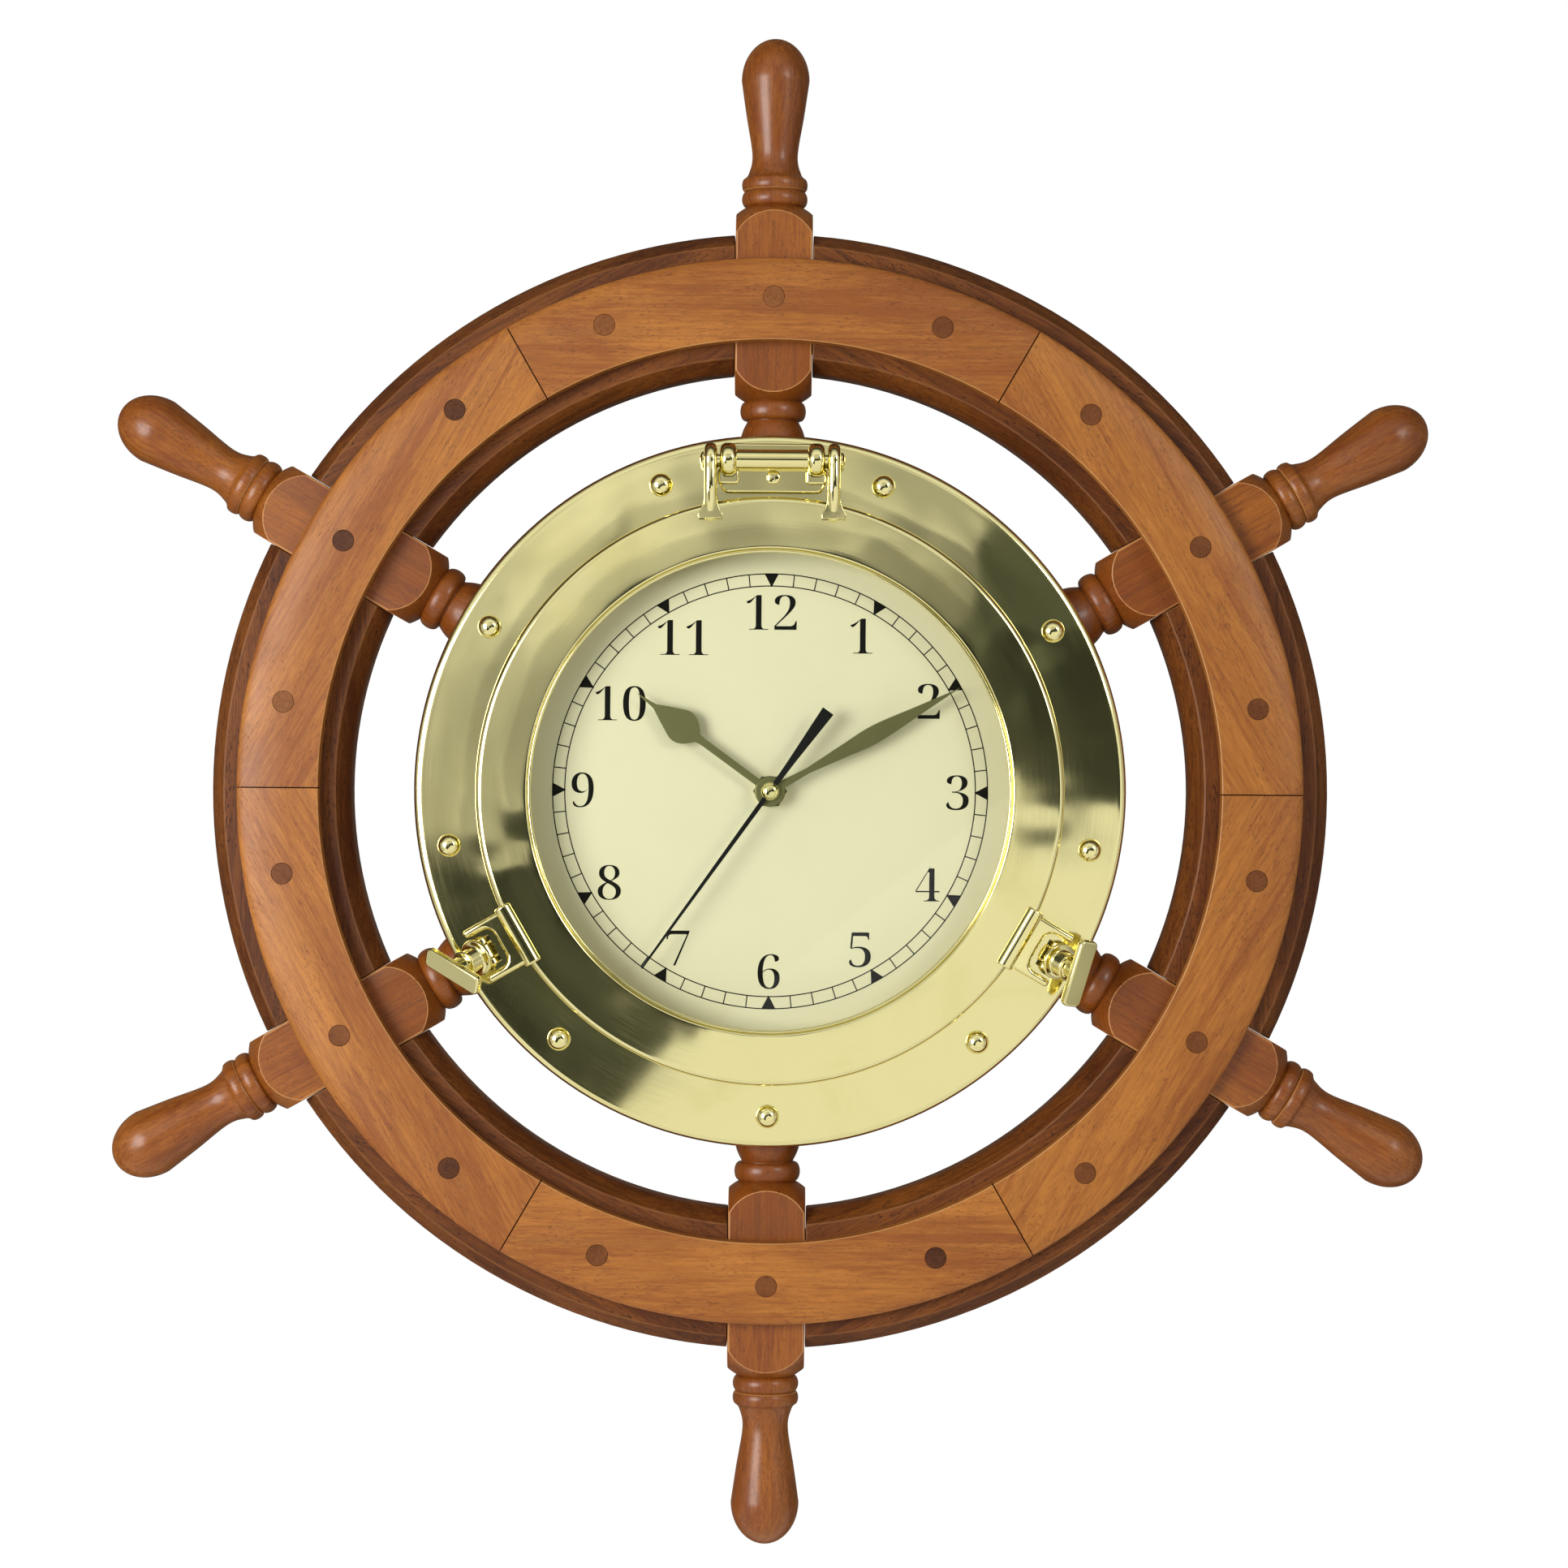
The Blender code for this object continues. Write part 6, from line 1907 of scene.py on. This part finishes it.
@dataclass
class Hands(Assembly):
    """Hour, minute and second hands.

    Attributes:
        thickness: Thickness of their sheet.
        hour: Length, clock angle and distance from the wall of the hour hand.
        minute: The same of the minute hand.
        second: The same of the second hand.
        bulb: Place and half width of the hour hand's bulb.
        leaf: Half width of the minute hand.
        tail: Length and half width of the second hand's counterweight.
        cap: Radius of the cap on the second hand.
        spindle: Radius of the cap's spindle, and the distance of its end from the wall.
    """

    thickness: float = 0.6
    hour: Place = (66.8, 306.0, 37.8)
    minute: Place = (87.3, 61.0, 40.0)
    second: Place = (87.7, 215.5, 42.2)
    bulb: tuple[float, float] = (44.6, 6.85)
    leaf: float = 3.6
    tail: tuple[float, float] = (39.8, 2.6)
    cap: float = 3.6
    spindle: tuple[float, float] = (1.0, 36.0)

    def build(self) -> None:
        """Builds and dresses the three hands."""
        (reach, half), tip = self.bulb, self.hour[0]
        bulb = [
            (1.9, reach - 1.25 * half),
            (0.84 * half, reach - 0.66 * half),
            (half, reach),
            (0.64 * half, reach + 0.9 * half),
            (1.0, reach + 1.9 * half),
        ]
        side = [(1.5, reach - 1.6 * half), *flowing(bulb, 6), (0.0, tip)]
        self.cut_hand("hour", self.hour, self.with_boss(6.2, 1.5, side))
        tip, half = self.minute[0], self.leaf
        leaf = [(1.2, 0.2 * tip), (0.75 * half, 0.4 * tip), (half, 0.56 * tip), (0.5 * half, 0.78 * tip)]
        side = [*flowing(leaf, 6), (0.0, tip)]
        self.cut_hand("minute", self.minute, self.with_boss(5.85, 1.6, side))
        self.cut_second_hand()

    @staticmethod
    def with_boss(radius: float, neck: float, side: Profile) -> Profile:
        """Draws a hand with a round boss.

        Args:
            radius: Radius of the boss.
            neck: Half width where the blade leaves it.
            side: Right side of the blade, from the boss to the tip.

        Returns:
            The closed outline, with that side and its mirror image.
        """
        start = math.degrees(math.acos(neck / radius))
        boss = arc((0, 0), radius, radius, 180 - start, 360 + start, 28)
        return [*boss, *side, *[(-x, y) for x, y in reversed(side) if x > 0]]

    def cut_hand(self, name: str, sizes: Place, outline: Profile) -> None:
        """Cuts a hand from sheet and sets it at its angle.

        Args:
            name: Body that it rides on.
            sizes: Its length, clock angle and distance from the wall.
            outline: Its outline, pointing to 12 o'clock.
        """
        _, angle, back = sizes
        hand = Bench.slab(f"{name}_hand_sheet", outline, back, back + self.thickness)
        Bench.ease(hand, 0.14, segments=2, angle=40)
        self.fit(hand, Finish.HAND_BRASS, FACE @ clock_turn(angle), "hand_brass", f"{name}_hand", body=name)

    def cut_second_hand(self) -> None:
        """Cuts the needle with its counterweight and turns the cap on it."""
        (long, angle, back), (far, wide) = self.second, self.tail
        right = [(wide, -far), (0.55 * wide, -0.4 * far), (1.0, -3.0), (1.0, 3.0), (0.42, long)]
        turn, top = FACE @ clock_turn(angle), back + self.thickness
        needle = Bench.slab("second_needle", mirrored(right), back, top)
        Bench.ease(needle, 0.12, segments=2, angle=40)
        self.fit(needle, Finish.LACQUER, turn, "black_lacquer", "second_hand", body="second")
        edge, (spindle, end) = self.cap, self.spindle
        profile = [
            *arc((0, top + 0.3), edge - 0.9, 0.9, 90, 0, 8),
            *[(edge - 0.8, top + 0.35), (edge - 0.3, top + 0.35), (edge, top), (edge, back)],
            *[(spindle, back), (spindle, end), (0, end)],
        ]
        cap = Bench.lathe("second_hand_cap", profile, 40)
        self.fit(cap, Finish.BRASS, turn, "hand_brass", body="second")


@dataclass
class Works(Assembly):
    """Pieces whose shape in the frame is already right and that only take a finish."""

    def build(self, nodes: dict[str, Piece]) -> None:
        """Dresses the frame's own nodes.

        Args:
            nodes: The frame's objects by name.
        """
        finishes = {
            Finish.STEEL: ("hanger_plate", "minute_arbor"),
            Finish.PLASTIC: ("movement_case", "movement_cover", "setting_knob"),
            Finish.GEAR: ("hour_wheel", "minute_wheel"),
            Finish.CELL: ("battery",),
            Finish.BRASS: ("fixing_nut", "left_pivot_pin", "right_pivot_pin"),
        }
        for finish, names in finishes.items():
            for name in names:
                self.dress(nodes[name], finish)
                LOG.info("%s: dressed in %s", name, finish.value.name)


@dataclass(frozen=True)
class SoftBox:
    """A square lamp.

    Attributes:
        name: Name of the lamp.
        at: Where it hangs, in metres.
        size: Length of its sides in metres.
        power: Its power in watts.
        mirrored: Whether polished pieces mirror it.
    """

    name: str
    at: Place
    size: float
    power: float
    mirrored: bool = True


@dataclass(frozen=True)
class Fan:
    """A sheet cut like a fan, which only reflections show.

    Attributes:
        name: Name of the sheet.
        start: Clock angle of one side in degrees.
        end: Clock angle of the other side in degrees.
        glow: How bright it is.
        reach: Its outer radius in millimetres.
    """

    name: str
    start: float
    end: float
    glow: float
    reach: float = 1000.0


@dataclass
class Studio:
    """Camera, lamps, pale floor, white surround and the sheets that polished brass mirrors.

    Attributes:
        reach: Distance of the camera from the wheel's middle in metres.
        half_width: Half of the width that it sees there, in metres.
        sensor: Width of the camera's sensor in millimetres.
        aim: Where its axis meets the clock, across and up, in metres.
        roll: Roll of the camera in degrees.
        floor: Height of the floor in metres.
        floor_radius: Radius of the floor in metres.
        ambient: Strength of the even light on the clock.
        boxes: The lamps.
        fans: The fan-shaped sheets, each nearer the clock than the one before.
        fan_hub: Inner radius of the fans in millimetres.
        fan_depth: Distance of the first fan from the wall, and the step to the next, in millimetres.
        disc: Radius of the two discs in front of the camera, in millimetres.
        disc_cut: Clock angle and distance from the middle of the straight cut in the darker disc.
        dim: Glow under which a sheet is tinted green.
    """

    reach: float = 1.6
    half_width: float = 0.3178
    sensor: float = 36.0
    aim: tuple[float, float] = (0.0056, 0.003)
    roll: float = 0.45
    floor: float = -0.45
    floor_radius: float = 0.62
    ambient: float = 0.33
    boxes: tuple[SoftBox, ...] = (
        SoftBox("left_softbox", (-0.92, -1.15, 0.08), size=0.75, power=19.0),
        SoftBox("right_softbox", (1.0, -1.3, 0.55), size=0.5, power=6.5),
        SoftBox("back_softbox", (0.5, 1.7, 0.6), size=1.3, power=21.0, mirrored=False),
    )
    fans: tuple[Fan, ...] = (
        Fan("upper_right_fan", 38.0, 62.0, glow=0.14),
        Fan("right_fan", 62.0, 96.0, glow=0.06),
        Fan("lower_left_fan", 205.0, 260.0, glow=0.08),
        Fan("upper_left_fan", 260.0, 398.0, glow=0.82),
        Fan("near_right_fan", 24.0, 40.0, glow=0.3, reach=300.0),
        Fan("near_left_fan", 262.0, 384.0, glow=0.56, reach=300.0),
    )
    fan_hub: float = 170.0
    fan_depth: tuple[float, float] = (1380.0, 4.0)
    disc: float = 185.0
    disc_cut: tuple[float, float] = (141.5, 108.0)
    dim: float = 0.2

    def build(self) -> None:
        """Sets up the studio."""
        self.place_camera()
        self.light_world()
        for box in self.boxes:
            self.place_lamp(box)
        self.lay_floor()
        self.hang_fans()
        self.hang_screens()
        bpy.context.scene.view_settings.view_transform = "Standard"

    def place_camera(self) -> None:
        """Stands the camera in front of the dial."""
        data = bpy.data.cameras.new("camera")
        data.sensor_width = self.sensor
        data.lens = self.sensor / 2 * self.reach / self.half_width
        camera = bpy.data.objects.new("camera", data)
        bpy.context.scene.collection.objects.link(camera)
        stand = Matrix.Translation((self.aim[0], -self.reach - SPOKE_AXIS * MM, self.aim[1]))
        camera.matrix_world = stand @ FACE @ Matrix.Rotation(math.radians(self.roll), 4, "Z")
        bpy.context.scene.camera = camera

    @staticmethod
    def background_rays(paint: Paint) -> Signal:
        """Tells the rays that should meet the white background from those that light the clock.

        Args:
            paint: Material or world under construction.

        Returns:
            1 for the background's rays and 0 for the others.
        """
        path = paint.node("ShaderNodeLightPath")
        seen = paint.read(path, "Is Camera Ray").most(paint.read(path, "Is Glossy Ray"))
        return seen.most(paint.read(path, "Is Transmission Ray"))

    def light_world(self) -> None:
        """Makes the surround white to look at and a soft even light on the clock."""
        world = bpy.data.worlds.new("white_surround")
        paint = Paint("white_surround", world)
        soft = paint.node("ShaderNodeBackground", None, {0: (1.0, 1.0, 1.0), 1: self.ambient})
        white = paint.node("ShaderNodeBackground", None, {0: (1.0, 1.0, 1.0), 1: 1.0})
        paint.output(paint.blend(self.background_rays(paint), soft, white))
        bpy.context.scene.world = world

    @staticmethod
    def place_lamp(box: SoftBox) -> None:
        """Hangs a soft box that points at the clock.

        Args:
            box: The lamp's sizes and place.
        """
        data = bpy.data.lights.new(box.name, "AREA")
        data.shape = "RECTANGLE"
        data.size = data.size_y = box.size
        data.energy = box.power
        lamp = bpy.data.objects.new(box.name, data)
        bpy.context.scene.collection.objects.link(lamp)
        turn = (-Vector(box.at)).to_track_quat("-Z", "Y").to_matrix().to_4x4()
        lamp.matrix_world = Matrix.Translation(box.at) @ turn
        lamp.visible_glossy = box.mirrored

    def lay_floor(self) -> None:
        """Lays a pale round floor below the clock."""
        Bench.clear()
        sizes = {"vertices": 96, "radius": self.floor_radius, "location": (0, 0, self.floor)}
        bpy.ops.mesh.primitive_circle_add(fill_type="NGON", **sizes)
        floor = bpy.context.active_object
        floor.name = "floor"
        paint = Paint("pale_floor")
        matt = paint.node("ShaderNodeBsdfDiffuse", None, {"Color": (0.94, 0.94, 0.94)})
        white = paint.node("ShaderNodeEmission", None, {"Color": (1.0, 1.0, 1.0), "Strength": 1.0})
        share = self.background_rays(paint) * 0.5
        floor.data.materials.append(paint.output(paint.blend(share, matt, white)))

    def hang_fans(self) -> None:
        """Hangs the fans that shape what the port ring and the flange mirror."""
        depth, step = self.fan_depth
        for place, fan in enumerate(self.fans):
            outer = arc((0, 0), fan.reach, fan.reach, 90 - fan.start, 90 - fan.end, 16)
            inner = arc((0, 0), self.fan_hub, self.fan_hub, 90 - fan.end, 90 - fan.start, 16)
            self.hang_sheet(fan.name, [*outer, *inner], depth - step * place, fan.glow)

    def hang_screens(self) -> None:
        """Hangs the discs before the camera, the sheet behind the clock and the bands round it."""
        angle, cut = self.disc_cut
        way, spread = 90 - angle, math.degrees(math.acos(cut / self.disc))
        edge = arc((0, 0), self.disc, self.disc, way + spread, way + 360 - spread, 48)
        self.hang_sheet("camera_side", edge, depth=1350, glow=0.02)
        disc = arc((0, 0), self.disc, self.disc, 0, 352.5, 47)
        self.hang_sheet("window_side", disc, depth=1365, glow=1.2)
        self.hang_sheet("wall_side", arc((0, 0), 1400, 1400, 0, 352.5, 47), depth=-60, glow=0.12)
        band = section(1300, 1310, -50, 850)
        self.hang_flag(Bench.lathe("side_band", band, steps=48, ring=True), glow=0.62)
        band = section(1280, 1290, -50, 420)
        self.hang_flag(Bench.sweep("upper_band", band, half=70, steps=24), glow=0.08)

    def hang_sheet(self, name: str, outline: Profile, depth: float, glow: float) -> None:
        """Hangs a flat sheet parallel to the dial.

        Args:
            name: Name of the sheet.
            outline: Closed outline in millimetres, seen from behind the camera.
            depth: Distance from the wall in millimetres.
            glow: How bright it is.
        """
        self.hang_flag(Bench.draw(name, [(x, y, depth) for x, y in outline], closed=True), glow)

    def hang_flag(self, flag: Piece, glow: float) -> None:
        """Hangs a sheet that only reflections show.

        Args:
            flag: The sheet.
            glow: How bright it is.
        """
        Bench.place(flag, FACE)
        paint = Paint(flag.name)
        cloud = paint.noise(paint.place(), (3.2, 3.2, 3.2), detail=3, distortion=0.6).eased(0.25, 0.75)
        tint = (0.9, 1.0, 0.85) if glow < self.dim else (1.0, 1.0, 1.0)
        colour = paint.mix(cloud, tuple(0.5 * part for part in tint), tuple(1.35 * part for part in tint))
        shade = paint.node("ShaderNodeEmission", None, {"Color": colour, "Strength": glow})
        flag.data.materials.append(paint.output(paint.read(shade)))
        flag.visible_camera = False
        flag.visible_diffuse = False
        flag.visible_shadow = False
        flag.visible_transmission = False


def main() -> None:
    """Builds the clock's looks on its frame, piece by piece, and sets up the studio."""
    logging.basicConfig(level=logging.INFO, format="%(name)s: %(message)s")
    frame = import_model()
    WoodenWheel().build()
    Hub().build()
    Porthole().build()
    Hinge().build()
    for side in Side:
        SwingBolt(stand=side.value).build()
    Dial().build()
    Hands().build()
    Works().build(frame["nodes"])
    Studio().build()


if __name__ == "__main__":
    main()
